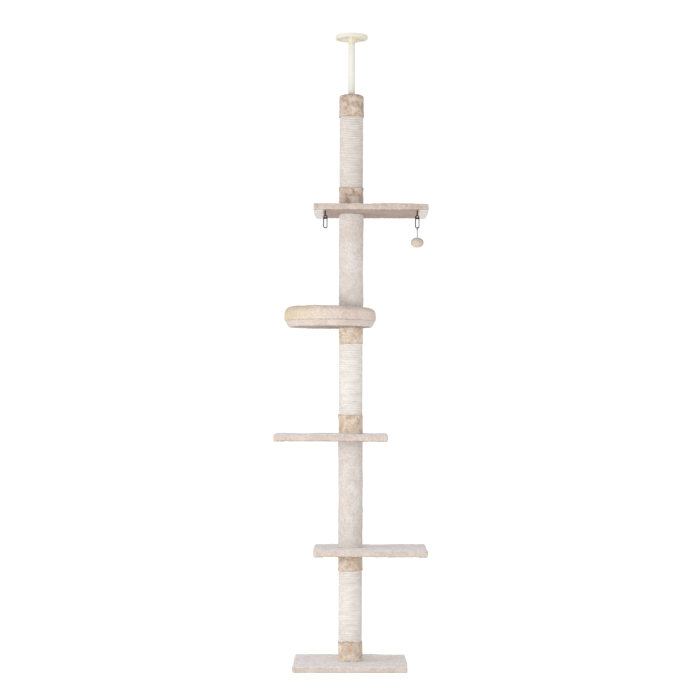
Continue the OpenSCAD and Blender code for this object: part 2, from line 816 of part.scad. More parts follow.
// Tube of n sides along the route p
module swept_cord(p, r, n) {
    rings = len(p);
    points = [for (k = [0 : rings - 1]) each cord_ring(p, k, r, n)];
    sides = [for (k = [0 : rings - 2], j = [0 : n - 1])
        [k * n + j, k * n + (j + 1) % n, (k + 1) * n + (j + 1) % n, (k + 1) * n + j]];
    first = [for (j = [0 : n - 1]) n - 1 - j];
    last = [for (j = [0 : n - 1]) (rings - 1) * n + j];
    polyhedron(points = points, faces = concat([first, last], sides));
}

module toy_cord() {
    color([0.30, 0.29, 0.29]) translate([hanger_x[1], hanger_y, knot_low])
        swept_cord(cord_route, cord_r, cord_sides);
}

module toy_ball() {
    color([0.86, 0.79, 0.72]) translate([hanger_x[1], hanger_y, ball_top - ball_h]) difference() {
        rotate_extrude() {
            translate([(ball_d - ball_h) / 2, ball_h / 2]) intersection() {
                circle(d = ball_h);
                translate([0, -ball_h]) square([ball_h, 2 * ball_h]);
            }
            square([(ball_d - ball_h) / 2, ball_h]);
        }
        translate([0, 0, ball_h - ball_bore_h])
            cylinder(r = cord_r + body_gap, h = ball_bore_h + cut, $fn = small_fn);
    }
}

// ---- the object, or one node of it ----

base_board();
base_cover();
base_liner();
base_bolt();
base_washer();
post_tube(1);  // post_1_tube
post_tube(2);  // post_2_tube
post_tube(3);  // post_3_tube
post_tube(4);  // post_4_tube
post_tube(5);  // post_5_tube
post_plugs(1);  // post_1_plugs
post_plugs(2);  // post_2_plugs
post_plugs(3);  // post_3_plugs
post_plugs(4);  // post_4_plugs
top_post_plugs();  // post_5_plugs
threaded_inserts();
joining_studs();
post_sisal(1, foot_cuff_h, cuff_h);  // post_1_sisal
post_sisal(3, foot_cuff_h, cuff_h);  // post_3_sisal
post_sisal(5, foot_cuff_h, cuff_h);  // post_5_sisal
lower_cuff(1, foot_cuff_h);  // post_1_lower_cuff
upper_cuff(1, cuff_h, deck_z(1));  // post_1_upper_cuff
lower_cuff(3, foot_cuff_h);  // post_3_lower_cuff
upper_cuff(3, cuff_h, deck_z(3));  // post_3_upper_cuff
lower_cuff(5, foot_cuff_h);  // post_5_lower_cuff
upper_cuff(5, cuff_h + cap_t, cap_top);  // post_5_upper_cuff
post_sleeve(2);  // post_2_sleeve
post_sleeve(4);  // post_4_sleeve
shelf_board(1);  // shelf_1_board
shelf_cover(1);  // shelf_1_cover
shelf_board(2);  // shelf_2_board
shelf_cover(2);  // shelf_2_cover
shelf_board(3);  // shelf_3_board
shelf_cover(3);  // shelf_3_cover
bed_board();
bed_cover();
bed_bolster();
top_cap();
top_cap_cover();
prop_tube();
flange_screws();
prop_nut();
spindle();
spindle_clip();
ceiling_disc();
ceiling_pad();
hanger(0);  // hanger_left
hanger(1);  // hanger_right
hanger_screws();
hook(0);  // hook_left
hook(1);  // hook_right
gate(0);  // gate_left
gate(1);  // gate_right
gate_rivet(0);  // gate_rivet_left
gate_rivet(1);  // gate_rivet_right
toy_loop();
toy_cord();
toy_ball();
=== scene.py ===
"""Looks of the floor-to-ceiling cat tree: plush, sisal rope, webbing, string, plastic and steel."""
import json
import math

import bpy
import numpy as np
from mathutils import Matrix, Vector


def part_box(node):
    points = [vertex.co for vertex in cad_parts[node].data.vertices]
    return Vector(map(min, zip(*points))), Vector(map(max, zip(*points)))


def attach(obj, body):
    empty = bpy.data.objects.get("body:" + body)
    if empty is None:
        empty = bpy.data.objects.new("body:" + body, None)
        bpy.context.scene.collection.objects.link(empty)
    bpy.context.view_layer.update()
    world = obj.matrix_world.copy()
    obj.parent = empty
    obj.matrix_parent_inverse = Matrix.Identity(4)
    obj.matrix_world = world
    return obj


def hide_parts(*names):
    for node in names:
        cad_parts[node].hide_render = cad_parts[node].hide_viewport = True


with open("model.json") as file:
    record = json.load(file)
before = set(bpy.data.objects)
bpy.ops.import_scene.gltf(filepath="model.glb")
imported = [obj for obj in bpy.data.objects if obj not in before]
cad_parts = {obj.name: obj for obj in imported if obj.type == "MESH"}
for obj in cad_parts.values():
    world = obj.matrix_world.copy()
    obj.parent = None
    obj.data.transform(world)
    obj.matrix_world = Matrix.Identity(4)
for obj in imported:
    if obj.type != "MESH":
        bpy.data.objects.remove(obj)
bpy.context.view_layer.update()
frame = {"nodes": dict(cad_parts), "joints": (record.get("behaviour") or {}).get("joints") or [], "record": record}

MM = 0.001
TREE = "tree"
TOY = "toy"
SLOT_OF = {row["node"]: row["material_slot"] for row in frame["record"]["subparts"]}
FINISHES = {}


# ---- places taken from the frame ----

def box(node):
    """Lowest and highest corner of a CAD node, as arrays in metres."""
    low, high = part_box(node)
    return np.array(low), np.array(high)


def pivot_of(name):
    """A point on a joint's axis, in metres."""
    return np.array(next(j for j in frame["joints"] if j["name"] == name)["pos_m"])


def put(name, data):
    """A new object in the scene."""
    thing = bpy.data.objects.new(name, data)
    bpy.context.scene.collection.objects.link(thing)
    return thing


# ---- camera, light and stage ----

EYE = (-0.0024, -6.5, 0.938)  # the camera's place, in metres
LENS = 94.12  # focal length, for a sensor 36 mm wide
RAISE = 0.0743  # how far the frame is shifted up, as a share of its width
ROLL = math.radians(-0.16)
SEEN_WHITE = 1.05  # strength of the white world that the camera sees
STUDIO_FILL = 0.68  # strength of the same world as a light
FLOOR_LIFT = 0.5  # own glow of the floor that the camera sees
FLOOR_GLOW = 1.0  # glow of the floor as a light
FLOOR_REACH = 12  # from the tree to the floor's edges, in metres
LAMP_TARGET = (0, 0, 1.05)
LAMPS = (  # name, place and width in metres, power in watts
    ("front", (-0.4, -2.6, 1.0), 1.6, 24.4),
    ("side", (-2.2, -0.8, 1.0), 1.4, 11.3),
)


def make_camera():
    """A level camera in front of the tree, turned slightly round its own line of sight."""
    data = bpy.data.cameras.new("camera")
    data.sensor_width = 36
    data.lens = LENS
    data.shift_y = RAISE
    camera = put("camera", data)
    camera.location = EYE
    camera.rotation_euler = (math.radians(90), ROLL, 0)
    bpy.context.scene.camera = camera


def make_lamp(name, place, width, power):
    """A round softbox that points at the middle of the tree."""
    data = bpy.data.lights.new(name, "AREA")
    data.shape = "DISK"
    data.size = width
    data.energy = power
    lamp = put(name, data)
    lamp.location = place
    lamp.rotation_euler = (Vector(LAMP_TARGET) - Vector(place)).to_track_quat("-Z", "Y").to_euler()


def add_node(tree, kind, **values):
    """A new shader node with some of its inputs set; an underscore stands for a space."""
    node = tree.nodes.new("ShaderNode" + kind)
    for key, value in values.items():
        node.inputs[key.replace("_", " ")].default_value = value
    return node


def split_by_ray(tree, light, seen, out):
    """Shows one shader to the camera, and lets another light the scene."""
    path, mix = add_node(tree, "LightPath"), add_node(tree, "MixShader")
    tree.links.new(path.outputs["Is Camera Ray"], mix.inputs["Fac"])
    tree.links.new(light.outputs[0], mix.inputs[1])
    tree.links.new(seen.outputs[0], mix.inputs[2])
    tree.links.new(mix.outputs[0], out.inputs["Surface"])


def make_world():
    """White studio: pure white to look at, softer as a light."""
    world = bpy.data.worlds.new("studio")
    world.use_nodes = True
    tree = world.node_tree
    tree.nodes.clear()
    fill = add_node(tree, "Background", Strength=STUDIO_FILL, Color=grey(1.0))
    seen = add_node(tree, "Background", Strength=SEEN_WHITE, Color=grey(1.0))
    split_by_ray(tree, fill, seen, add_node(tree, "OutputWorld"))
    bpy.context.scene.world = world


def floor_finish():
    """White floor: its own tone and a soft shadow to look at, an even glow as a light."""
    made = Finish("studio_floor", roughness=0.9, Emission_Strength=FLOOR_LIFT)
    made.skin.inputs["Emission Color"].default_value = grey(1.0)
    made.paint(made.tones(made.noise(0.8, 2, 0.5), 0.3, (243, 243, 243), 0.7, (247, 247, 247)))
    glow = made.node("Emission", Strength=FLOOR_GLOW)
    split_by_ray(made.tree, glow, made.skin, made.out)
    return made.material


def make_stage():
    """Studio round the tree; the floor lies just below it, so that the two don't touch."""
    make_world()
    for lamp in LAMPS:
        make_lamp(*lamp)
    data = bpy.data.meshes.new("floor")
    corners = [(x * FLOOR_REACH, y * FLOOR_REACH, 0) for x, y in ((-1, -1), (1, -1), (1, 1), (-1, 1))]
    data.from_pydata(corners, [], [(0, 1, 2, 3)])
    data.materials.append(floor_finish())
    floor = put("floor", data)
    floor.location.z = -0.5 * MM


# ---- materials ----

def screen(r, g, b):
    """Linear colour of the 0 to 255 values that a screen shows."""
    def linear(c):
        return c / 255 / 12.92 if c <= 0.04045 * 255 else ((c / 255 + 0.055) / 1.055) ** 2.4
    return (linear(r), linear(g), linear(b), 1.0)


def grey(value):
    return (value, value, value, 1.0)


# also used as painted shade along the base's lower rim and at the bolster's foot
BARE_CLOTH_AND_SHADE = screen(170, 142, 122)  # woven back of the plush, seen where it was cut


class Finish:
    """A material whose colour, roughness and relief come from procedural nodes."""

    def __init__(self, name, roughness=0.8, metallic=0.0, **constants):
        self.material = bpy.data.materials.new(name)
        self.material.use_nodes = True
        self.tree = self.material.node_tree
        self.links = self.tree.links
        self.tree.nodes.clear()
        self.out = self.node("OutputMaterial")
        self.skin = self.node("BsdfPrincipled", Roughness=roughness, Metallic=metallic, **constants)
        self.links.new(self.skin.outputs["BSDF"], self.out.inputs["Surface"])
        self.coords = self.node("TexCoord").outputs["Object"]

    def node(self, kind, **values):
        return add_node(self.tree, kind, **values)

    def stretched(self, x, y, z):
        """Object coordinates scaled along each axis; a pattern grows along a small one."""
        node = self.node("Mapping", Scale=(x, y, z))
        self.links.new(self.coords, node.inputs["Vector"])
        return node.outputs["Vector"]

    def noise(self, size, detail=3.0, rough=0.55, vector=None, warp=0.0):
        """Noise whose features are about size metres across."""
        node = self.node("TexNoise", Scale=1 / size, Detail=detail, Roughness=rough, Distortion=warp)
        self.links.new(vector or self.coords, node.inputs["Vector"])
        return node.outputs["Fac"]

    def cells(self, size):
        """Distance from the nearest of many points that lie about size metres apart."""
        node = self.node("TexVoronoi", Scale=1 / size)
        self.links.new(self.coords, node.inputs["Vector"])
        return node.outputs["Distance"]

    def waves(self, size):
        """Even bands, one above the other, size metres apart."""
        node = self.node("TexWave", Scale=1 / (size * 3.1))  # at scale 1 a band is about 1/3.1 high
        node.bands_direction = "Z"
        self.links.new(self.coords, node.inputs["Vector"])
        return node.outputs["Fac"]

    def attribute(self, name):
        """A number kept on each of the mesh's points."""
        node = self.node("Attribute")
        node.attribute_name = name
        return node.outputs["Fac"]

    def across(self, start, end):
        """Runs from 0 to 1 along x, between two places in metres."""
        parts = self.node("SeparateXYZ")
        node = self.node("MapRange", From_Min=start, From_Max=end)
        self.links.new(self.coords, parts.inputs["Vector"])
        self.links.new(parts.outputs["X"], node.inputs["Value"])
        return node.outputs["Result"]

    def from_axis(self, reach):
        """Runs from 0 at the posts' axis to 1 at reach metres from it."""
        level = self.node("VectorMath")
        level.operation = "MULTIPLY"
        level.inputs[1].default_value = (1 / reach, 1 / reach, 0)
        length = self.node("VectorMath")
        length.operation = "LENGTH"
        self.links.new(self.coords, level.inputs[0])
        self.links.new(level.outputs[0], length.inputs[0])
        return length.outputs["Value"]

    def ramp(self, factor, *stops):
        """Colours for a factor from 0 to 1; each stop is a place and its colour."""
        node = self.node("ValToRGB")
        marks = node.color_ramp.elements
        while len(marks) < len(stops):
            marks.new(0.5)
        for mark, (place, colour) in zip(marks, stops):
            mark.position = place
            mark.color = colour
        self.links.new(factor, node.inputs["Fac"])
        return node.outputs["Color"]

    def tones(self, factor, start, first, end, last):
        """A ramp between two colours, each given as a screen shows it."""
        return self.ramp(factor, (start, screen(*first)), (end, screen(*last)))

    def mix(self, factor, first, second, blend="MIX"):
        """Blend of two colours. Each value is a number, a colour or another node's output."""
        node = self.node("Mix")
        node.data_type = "RGBA"
        node.blend_type = blend
        sockets = (node.inputs[0], node.inputs[6], node.inputs[7])
        for socket, value in zip(sockets, (factor, first, second)):
            if isinstance(value, (float, int, tuple)):
                socket.default_value = value
            else:
                self.links.new(value, socket)
        return node.outputs[2]

    def times(self, *layers):
        """Product of several colours."""
        product = layers[0]
        for layer in layers[1:]:
            product = self.mix(1.0, product, layer, "MULTIPLY")
        return product

    def paint(self, colour):
        self.links.new(colour, self.skin.inputs["Base Color"])

    def roughen(self, factor, low, high):
        """Roughness from low to high, as the factor goes from 0 to 1."""
        node = self.node("MapRange", To_Min=low, To_Max=high)
        self.links.new(factor, node.inputs["Value"])
        self.links.new(node.outputs["Result"], self.skin.inputs["Roughness"])

    def bump(self, height, distance, strength=1.0):
        """Adds relief, distance metres deep, over the relief added before."""
        node = self.node("Bump", Distance=distance, Strength=strength)
        self.links.new(height, node.inputs["Height"])
        before = self.skin.inputs["Normal"]
        if before.links:
            self.links.new(before.links[0].from_socket, node.inputs["Normal"])
        self.links.new(node.outputs["Normal"], before)

    def follow(self, pattern, tones, rough, relief):
        """Colour, roughness and relief that all follow one pattern."""
        self.paint(self.tones(pattern, *tones))
        self.roughen(pattern, *rough)
        self.bump(pattern, *relief)
        return self.material


def plush_finish(name, light, dark, root_shade, nap=(1, 1, 0.4), blotch=0.05, painted_light_drift=None):
    """Short plush pile: strokes where it lies another way, painted shade at the roots, and single fibres.

    On the mesh, pile runs from the roots to the tips, and edge marks a cut edge's woven back,
    and also painted shade along the base's lower rim and the bolster's foot.
    nap stretches the fibres, blotch is the size of the strokes, and drift is a slow change of
    tint along x, painted warm light that is yellower at the left, in the order of CREAM_PAINTED_LIGHT."""
    made = Finish(name, roughness=0.92, Sheen_Weight=0.3, Sheen_Roughness=0.4, Specular_IOR_Level=0.15)
    along = made.stretched(*nap)
    strokes = made.tones(made.noise(blotch, 4, 0.62, warp=0.6), 0.36, dark, 0.62, light)
    # painted shade at the roots: darker where the pile mark is low, between tufts
    depth = made.mix(made.attribute("pile"), root_shade, grey(1.0))
    fibres = made.noise(0.0016, 4, 0.7, along)
    streaks = made.ramp(fibres, (0.3, grey(0.88)), (0.58, grey(1.0)))
    colour = made.times(strokes, depth, streaks)
    if painted_light_drift:
        # painted warm light: a tint that changes along x, yellower at the left end
        start, end, *tints = painted_light_drift
        colour = made.times(colour, made.ramp(made.across(start, end), *zip((0, 0.5, 1), tints)))
    # the edge mark shows the woven back at cut edges, and painted shade on some rims
    made.paint(made.mix(made.attribute("edge"), colour, BARE_CLOTH_AND_SHADE))
    made.roughen(fibres, 0.84, 0.98)
    made.bump(fibres, 0.0009, 0.5)
    return made.material


def sisal_finish(name, dark, light):
    """Dry sisal: slow changes of tone along the rope, fine fibres, and painted shade in the valleys."""
    made = Finish(name, Sheen_Weight=0.1, Specular_IOR_Level=0.15)
    turned = made.tones(made.noise(0.045, 4, 0.6, made.stretched(1, 1, 4)), 0.32, dark, 0.62, light)
    fibres = made.noise(0.0012, 4, 0.7, made.stretched(0.5, 0.5, 1.6), 1.2)
    strands = made.ramp(fibres, (0.32, (0.92, 0.91, 0.89, 1)), (0.54, grey(1.0)))
    # painted shade in the valleys between strands and turns, from the pile mark
    depth = made.mix(made.attribute("pile"), (0.96, 0.945, 0.92, 1), grey(1.0))
    made.paint(made.times(turned, strands, depth))
    made.roughen(fibres, 0.8, 0.96)
    made.bump(fibres, 0.0006, 0.6)
    return made.material


def felt_finish():
    made = Finish("needled_felt", Sheen_Weight=0.2)
    mat = made.noise(0.004, 5, 0.7, warp=1.5)
    return made.follow(mat, (0.3, (58, 58, 60), 0.7, (96, 95, 96)), (0.88, 0.98), (0.0006, 0.7))


def webbing_finish():
    made = Finish("woven_webbing", Sheen_Weight=0.25)
    weave = made.waves(0.0011)
    return made.follow(weave, (0.2, (34, 27, 26), 0.8, (70, 59, 56)), (0.6, 0.8), (0.0002, 0.6))


def string_finish():
    made = Finish("twisted_string", Sheen_Weight=0.1)
    hairs = made.noise(0.0008, 3, 0.6, made.stretched(1, 1, 0.3))
    return made.follow(hairs, (0.3, (24, 23, 24), 0.7, (54, 52, 53)), (0.7, 0.9), (0.0002, 0.6))


def foam_finish():
    made = Finish("closed_cell_foam")
    pores = made.cells(0.0012)
    return made.follow(pores, (0.1, (232, 229, 220), 0.6, (246, 245, 240)), (0.85, 0.95), (0.0003, 0.5))


def board_finish(name, light, dark, flake):
    """Wood or cardboard, with flakes about that many metres long."""
    made = Finish(name)
    chips = made.noise(flake, 4, 0.7, made.stretched(1, 1.6, 3), 0.8)
    return made.follow(chips, (0.3, dark, 0.7, light), (0.7, 0.9), (0.0003, 0.4))


def steel_finish(name, light, dark, rough_low, rough_high, metallic=1.0):
    """Plated or blackened steel, with a fine grain and slightly worn colour."""
    made = Finish(name, metallic=metallic)
    worn = made.noise(0.0064, 5, 0.65, warp=0.8)
    made.paint(made.tones(worn, 0.3, dark, 0.72, light))
    made.roughen(made.noise(0.0024, 4, 0.6), rough_low, rough_high)
    made.bump(made.noise(0.0016, 3, 0.5), 0.00004, 0.3)
    return made.material


def cream_finish(name, light, dark, rough_low, rough_high, peel, dish=None):
    """Satin cream: powder coat, or moulded plastic whose dish has painted shade inside and a painted warm bounce
    on its hub, in the order of DISH_PAINTED_LIGHT_AND_SHADE.
    """
    made = Finish(name, Specular_IOR_Level=0.4)
    colour = made.tones(made.noise(0.04, 3, 0.5), 0.3, dark, 0.7, light)
    if dish:
        hub_r, hub_painted_bounce, inside_r, inside_painted_shade = dish
        reach = made.from_axis(2 * inside_r)  # so that the dish's inside ends at 0.5
        hub_end = hub_r / inside_r / 2
        # painted warm bounce on the hub and painted shade inside the dish, by distance from the axis
        colour = made.times(colour, made.ramp(
            reach, (hub_end, hub_painted_bounce), (hub_end * 1.4, inside_painted_shade), (0.49, inside_painted_shade), (0.5, grey(1.0))))
    made.paint(colour)
    made.roughen(made.noise(0.006, 4, 0.6), rough_low, rough_high)
    made.bump(made.noise(peel, 2, 0.4), 0.00003, 0.25)
    return made.material


# tints of the painted shade at the plush's roots, between tufts
PALE_ROOT_SHADE = (0.82, 0.78, 0.75, 1)
TAN_ROOT_SHADE = (0.72, 0.65, 0.58, 1)
TOP_ROOT_SHADE = (0.88, 0.86, 0.85, 1)
FLAT_NAP = (1, 0.5, 1)  # fibres that lie along y, on boards
# painted warm light along the bolster: two places along x, in metres, and the tints at the first, midway and at
# the last
CREAM_PAINTED_LIGHT = (-0.22, 0.08, (0.9, 0.885, 0.72, 1), grey(0.926), (1, 0.98, 0.965, 1))
# radius and tint of the ceiling disc's hub, a painted warm bounce, then of its inside, painted shade
DISH_PAINTED_LIGHT_AND_SHADE = (0.014, (1, 0.93, 0.84, 1), 0.0545, (0.86, 0.86, 0.85, 1))

# each plush's light and dark strokes, the painted shade at its roots, and what else sets it apart
PLUSHES = {
    "plush_pale": ((230, 225, 221), (221, 212, 205), PALE_ROOT_SHADE, {}),
    "plush_tan": ((232, 218, 205), (184, 162, 144), TAN_ROOT_SHADE, {"blotch": 0.03}),
    "plush_honey": ((243, 232, 218), (212, 192, 171), TAN_ROOT_SHADE, {"blotch": 0.026}),
    # its tint along x is painted warm light, yellower at the left
    "plush_cream": ((235, 222, 213), (225, 208, 198), PALE_ROOT_SHADE, {"blotch": 0.09, "painted_light_drift": CREAM_PAINTED_LIGHT}),
    "plush_shelf": ((224, 212, 203), (211, 197, 188), PALE_ROOT_SHADE, {"nap": FLAT_NAP}),
    # shelf 3's front: a darker copy of the shelf plush, painted shade
    "plush_shelf_3_painted_shade": ((217, 203, 192), (203, 187, 176), PALE_ROOT_SHADE, {"nap": FLAT_NAP}),
    # up-facing faces: a lighter, cooler copy, painted light from above
    "plush_top_painted_light": ((251, 247, 246), (232, 225, 223), TOP_ROOT_SHADE, {"nap": FLAT_NAP, "blotch": 0.016}),
    # down-facing faces: a darker copy of the shelf plush, painted shade where little light reaches
    "plush_under_painted_shade": ((172, 148, 135), (160, 135, 121), PALE_ROOT_SHADE, {"nap": FLAT_NAP}),
    "plush_ball": ((224, 212, 198), (214, 199, 185), PALE_ROOT_SHADE, {"blotch": 0.02}),
}


def make_finishes():
    for name, (light, dark, root_shade, rest) in PLUSHES.items():
        FINISHES[name] = plush_finish(name, light, dark, root_shade, **rest)
    FINISHES.update({
        "sisal": sisal_finish("sisal_rope", (224, 218, 210), (237, 233, 229)),
        # the top post's rope: a darker copy of the same sisal, painted shade
        "sisal_5": sisal_finish("sisal_rope_5_painted_shade", (216, 207, 199), (228, 221, 216)),
        "felt": felt_finish(),
        "webbing": webbing_finish(),
        "toy_string": string_finish(),
        "foam": foam_finish(),
        "chipboard": board_finish("chipboard", (204, 176, 134), (150, 118, 80), 0.006),
        "plywood": board_finish("plywood", (222, 198, 158), (186, 156, 112), 0.012),
        "cardboard": board_finish("cardboard", (182, 152, 116), (164, 132, 98), 0.02),
        "zinc_steel": steel_finish("zinc_steel", (184, 186, 190), (146, 150, 155), 0.3, 0.46),
        "gunmetal": steel_finish("blackened_steel", (48, 49, 52), (20, 21, 24), 0.28, 0.5, metallic=0.7),
        "cream_paint": cream_finish(
            "cream_powder_coat", (234, 233, 224), (228, 226, 217), 0.35, 0.5, 0.0016),
        "cream_plastic": cream_finish(
            "cream_plastic", (235, 232, 219), (230, 226, 211), 0.45, 0.6, 0.004, DISH_PAINTED_LIGHT_AND_SHADE),
    })


# ---- numbers ----

def lattice(x, y, z, seed):
    """The same random number from 0 to 1 each time for a whole-number point."""
    h = (x * 374761393 + y * 668265263 + z * 1442695041 + seed * 974711) & 0xFFFFFFFF
    h = ((h ^ (h >> 13)) * 1274126177) & 0xFFFFFFFF
    return ((h ^ (h >> 16)) & 0xFFFF) / 65535.0


def noise(points, cell, seed):
    """Smooth noise from -1 to 1, with features about cell metres across."""
    place = points / cell
    base = np.floor(place).astype(np.int64)
    part = place - base
    ease = part * part * (3 - 2 * part)
    total = np.zeros(len(points))
    for corner in np.ndindex(2, 2, 2):
        weight = np.prod(np.where(np.array(corner) == 1, ease, 1 - ease), axis=1)
        spot = base + np.array(corner)
        total += weight * lattice(spot[:, 0], spot[:, 1], spot[:, 2], seed)
    return total * 2 - 1


def tuft_distance(points, cell, seed):
    """Distance from the nearest of a crowd of scattered tufts, as a share of cell."""
    place = points / cell
    base = np.floor(place).astype(np.int64)
    nearest = np.full(len(points), 9.0)
    for step in np.ndindex(3, 3, 3):
        spot = base + np.array(step) - 1
        x, y, z = spot.T
        tuft = spot + np.column_stack([lattice(x, y, z, seed + i) for i in range(3)])
        nearest = np.minimum(nearest, ((place - tuft) ** 2).sum(1))
    return np.sqrt(nearest)


def smooth_step(x, low, high):
    """Eases from 0 at low to 1 at high."""
    t = np.clip((x - low) / (high - low), 0, 1)
    return t * t * (3 - 2 * t)


# ---- meshes ----

class Skin:
    """Points, faces of four corners, and a flat map with each face corner's place on it."""

    def __init__(self, points, faces, flat):
        self.points = points
        self.faces = faces
        self.flat = flat
        self.caps = []  # faces of many corners that close an end
        self.caps_wear = [0, 0]  # which of the piece's finishes each cap wears
        self.marks = {}  # numbers kept on each point
        self.wears = None  # which of the piece's finishes each face wears

    def normals(self):
        """Outward direction at each point."""
        p, f = self.points, self.faces
        cross = np.cross(p[f[:, 2]] - p[f[:, 0]], p[f[:, 3]] - p[f[:, 1]])
        total = np.zeros_like(p)
        for corner in range(4):
            np.add.at(total, f[:, corner], cross)
        return total / np.maximum(np.linalg.norm(total, axis=1, keepdims=True), 1e-12)

    def mesh(self, name):
        """A Blender mesh with its flat map."""
        ends = [i for cap in self.caps for i in cap]
        corners = np.concatenate([self.faces.ravel(), np.array(ends, dtype=int)])
        sizes = np.array([4] * len(self.faces) + [len(cap) for cap in self.caps])
        starts = np.concatenate([[0], np.cumsum(sizes)[:-1]])
        flat = [self.flat.reshape(-1, 2)]
        for cap in self.caps:
            turn = np.linspace(0, 2 * math.pi, len(cap), endpoint=False)
            flat.append(0.99 + 0.008 * np.column_stack([np.cos(turn), np.sin(turn)]))
        data = bpy.data.meshes.new(name)
        data.vertices.add(len(self.points))
        data.vertices.foreach_set("co", self.points.astype(np.float32).ravel())
        data.loops.add(len(corners))
        data.loops.foreach_set("vertex_index", corners.astype(np.int32))
        data.polygons.add(len(sizes))
        data.polygons.foreach_set("loop_start", starts.astype(np.int32))
        data.update(calc_edges=True)
        layer = data.uv_layers.new(name="OFBake")
        layer.uv.foreach_set("vector", np.concatenate(flat).astype(np.float32).ravel())
        if self.wears is not None:
            wears = np.concatenate([self.wears, self.caps_wear[:len(self.caps)]])
            data.polygons.foreach_set("material_index", wears.astype(np.int32))
        for key, numbers in self.marks.items():
            data.attributes.new(key, "FLOAT", "POINT").data.foreach_set("value", numbers.astype(np.float32))
        data.shade_smooth()
        return data


def grid_skin(points, closed_rows=False, caps=False):
    """Skin of rows of points. Each row is a closed ring, closed_rows joins the last row to the
    first, and caps shut both ends."""
    rows, columns = points.shape[:2]
    spans = rows if closed_rows else rows - 1
    i, j = np.meshgrid(np.arange(spans), np.arange(columns), indexing="ij")
    i, j = i.ravel(), j.ravel()
    up, on = (i + 1) % rows, (j + 1) % columns
    faces = np.stack([i * columns + j, i * columns + on, up * columns + on, up * columns + j], axis=1)
    u, v = j / columns, i / spans
    du, dv = 1 / columns, 1 / spans
    flat = np.stack([(u, v), (u + du, v), (u + du, v + dv), (u, v + dv)]).transpose(2, 0, 1) * 0.98
    skin = Skin(points.reshape(-1, 3), faces, flat)
    if caps:
        skin.caps = [list(range(columns))[::-1], list(range((rows - 1) * columns, rows * columns))]
    return skin


def box_skin(low, high, step):
    """Skin of a box, cut into squares of about step, and the side of the box that each face is on.

    Sides are 0 to 5, for the low and high end of x, y and z. They lie in strips on the flat map."""
    size = high - low
    counts = np.maximum(2, np.round(size / step).astype(int))
    index = -np.ones(counts + 1, dtype=int)
    where = np.indices(index.shape)
    on_skin = np.any([(where[a] == 0) | (where[a] == counts[a]) for a in range(3)], axis=0)
    index[on_skin] = np.arange(on_skin.sum())
    points = low + np.stack([where[a][on_skin] / counts[a] * size[a] for a in range(3)], axis=1)
    heights = [min(np.delete(size, side // 2)) for side in range(6)]
    scale = 0.98 / sum(heights)
    faces, flats, sides = [], [], []
    for side in range(6):
        axis, high_end = side // 2, side % 2
        layer = np.take(index, -1 if high_end else 0, axis=axis)
        quad = np.stack([layer[:-1, :-1], layer[1:, :-1], layer[1:, 1:], layer[:-1, 1:]], axis=-1)
        a, b = np.delete(counts, axis)
        i, j = np.meshgrid(np.arange(a), np.arange(b), indexing="ij")
        u = np.stack([i, i + 1, i + 1, i], -1) / a
        v = np.stack([j, j, j + 1, j + 1], -1) / b
        if np.diff(np.delete(size, axis)) > 0:
            u, v = v, u
        v = (v * 0.97 * heights[side] + sum(heights[:side])) * scale
        flat = np.stack([u * 0.98, v], -1).reshape(-1, 4, 2)
        quad = quad.reshape(-1, 4)
        if high_end == (axis == 1):
            quad, flat = quad[:, ::-1], flat[:, ::-1]
        faces.append(quad)
        flats.append(flat)
        sides.append(np.full(len(quad), side))
    skin = Skin(points, np.concatenate(faces), np.concatenate(flats))
    return skin, np.concatenate(sides)


def rounded(points, low, high, corner, edge):
    """Bends a box's skin to round corners in plan, of radius corner, and rims of radius edge."""
    centre, half = (low + high) / 2, (high - low) / 2
    p = points - centre
    core = half[:2] - corner
    side = np.sign(p[:, :2])
    over = np.maximum(np.abs(p[:, :2]) - core, 0)
    squeeze = np.where(over.min(1) > 0, over.max(1) / np.maximum(np.hypot(*over.T), 1e-9), 1.0)
    over *= squeeze[:, None]
    plan = side * (np.minimum(np.abs(p[:, :2]), core) + over)
    reach = np.hypot(*over.T)
    outward = side * over / np.maximum(reach, 1e-9)[:, None]
    q = np.maximum(reach - (corner - edge), 0)
    h = np.maximum(np.abs(p[:, 2]) - (half[2] - edge), 0)
    squeeze = np.where((q > 0) & (h > 0), np.maximum(q, h) / np.maximum(np.hypot(q, h), 1e-9), 1.0)
    plan -= outward * (q * (1 - squeeze))[:, None]
    z = np.sign(p[:, 2]) * (np.minimum(np.abs(p[:, 2]), half[2] - edge) + h * squeeze)
    return centre + np.column_stack([plan, z])


def arc(centre, radius, start, end, count):
    """Points of an arc, angles in degrees."""
    angles = np.radians(np.linspace(start, end, count))
    return [(centre[0] + radius * math.cos(a), centre[1] + radius * math.sin(a)) for a in angles]


def full_turn(count):
    """Even angles round a circle."""
    return np.arange(count) * 2 * math.pi / count


def polar(r, angle, z):
    """Points from their radius, angle and height."""
    x, y = r * np.cos(angle), r * np.sin(angle)
    return np.stack([x, y, np.broadcast_to(z, x.shape)], axis=-1)


def lathe(profile, around, centre=(0, 0)):
    """Rows of points: a profile of (radius, height) turned round an upright axis."""
    r, z = np.array(profile).T[:, :, None]
    return polar(r, full_turn(around), z) + np.array([*centre, 0])


def even_line(points, step):
    """The same line with a point about every step."""
    points = np.asarray(points, dtype=float)
    length = np.concatenate([[0], np.cumsum(np.linalg.norm(np.diff(points, axis=0), axis=1))])
    even = np.linspace(0, length[-1], max(2, int(round(length[-1] / step)) + 1))
    return np.column_stack([np.interp(even, length, axis) for axis in points.T])


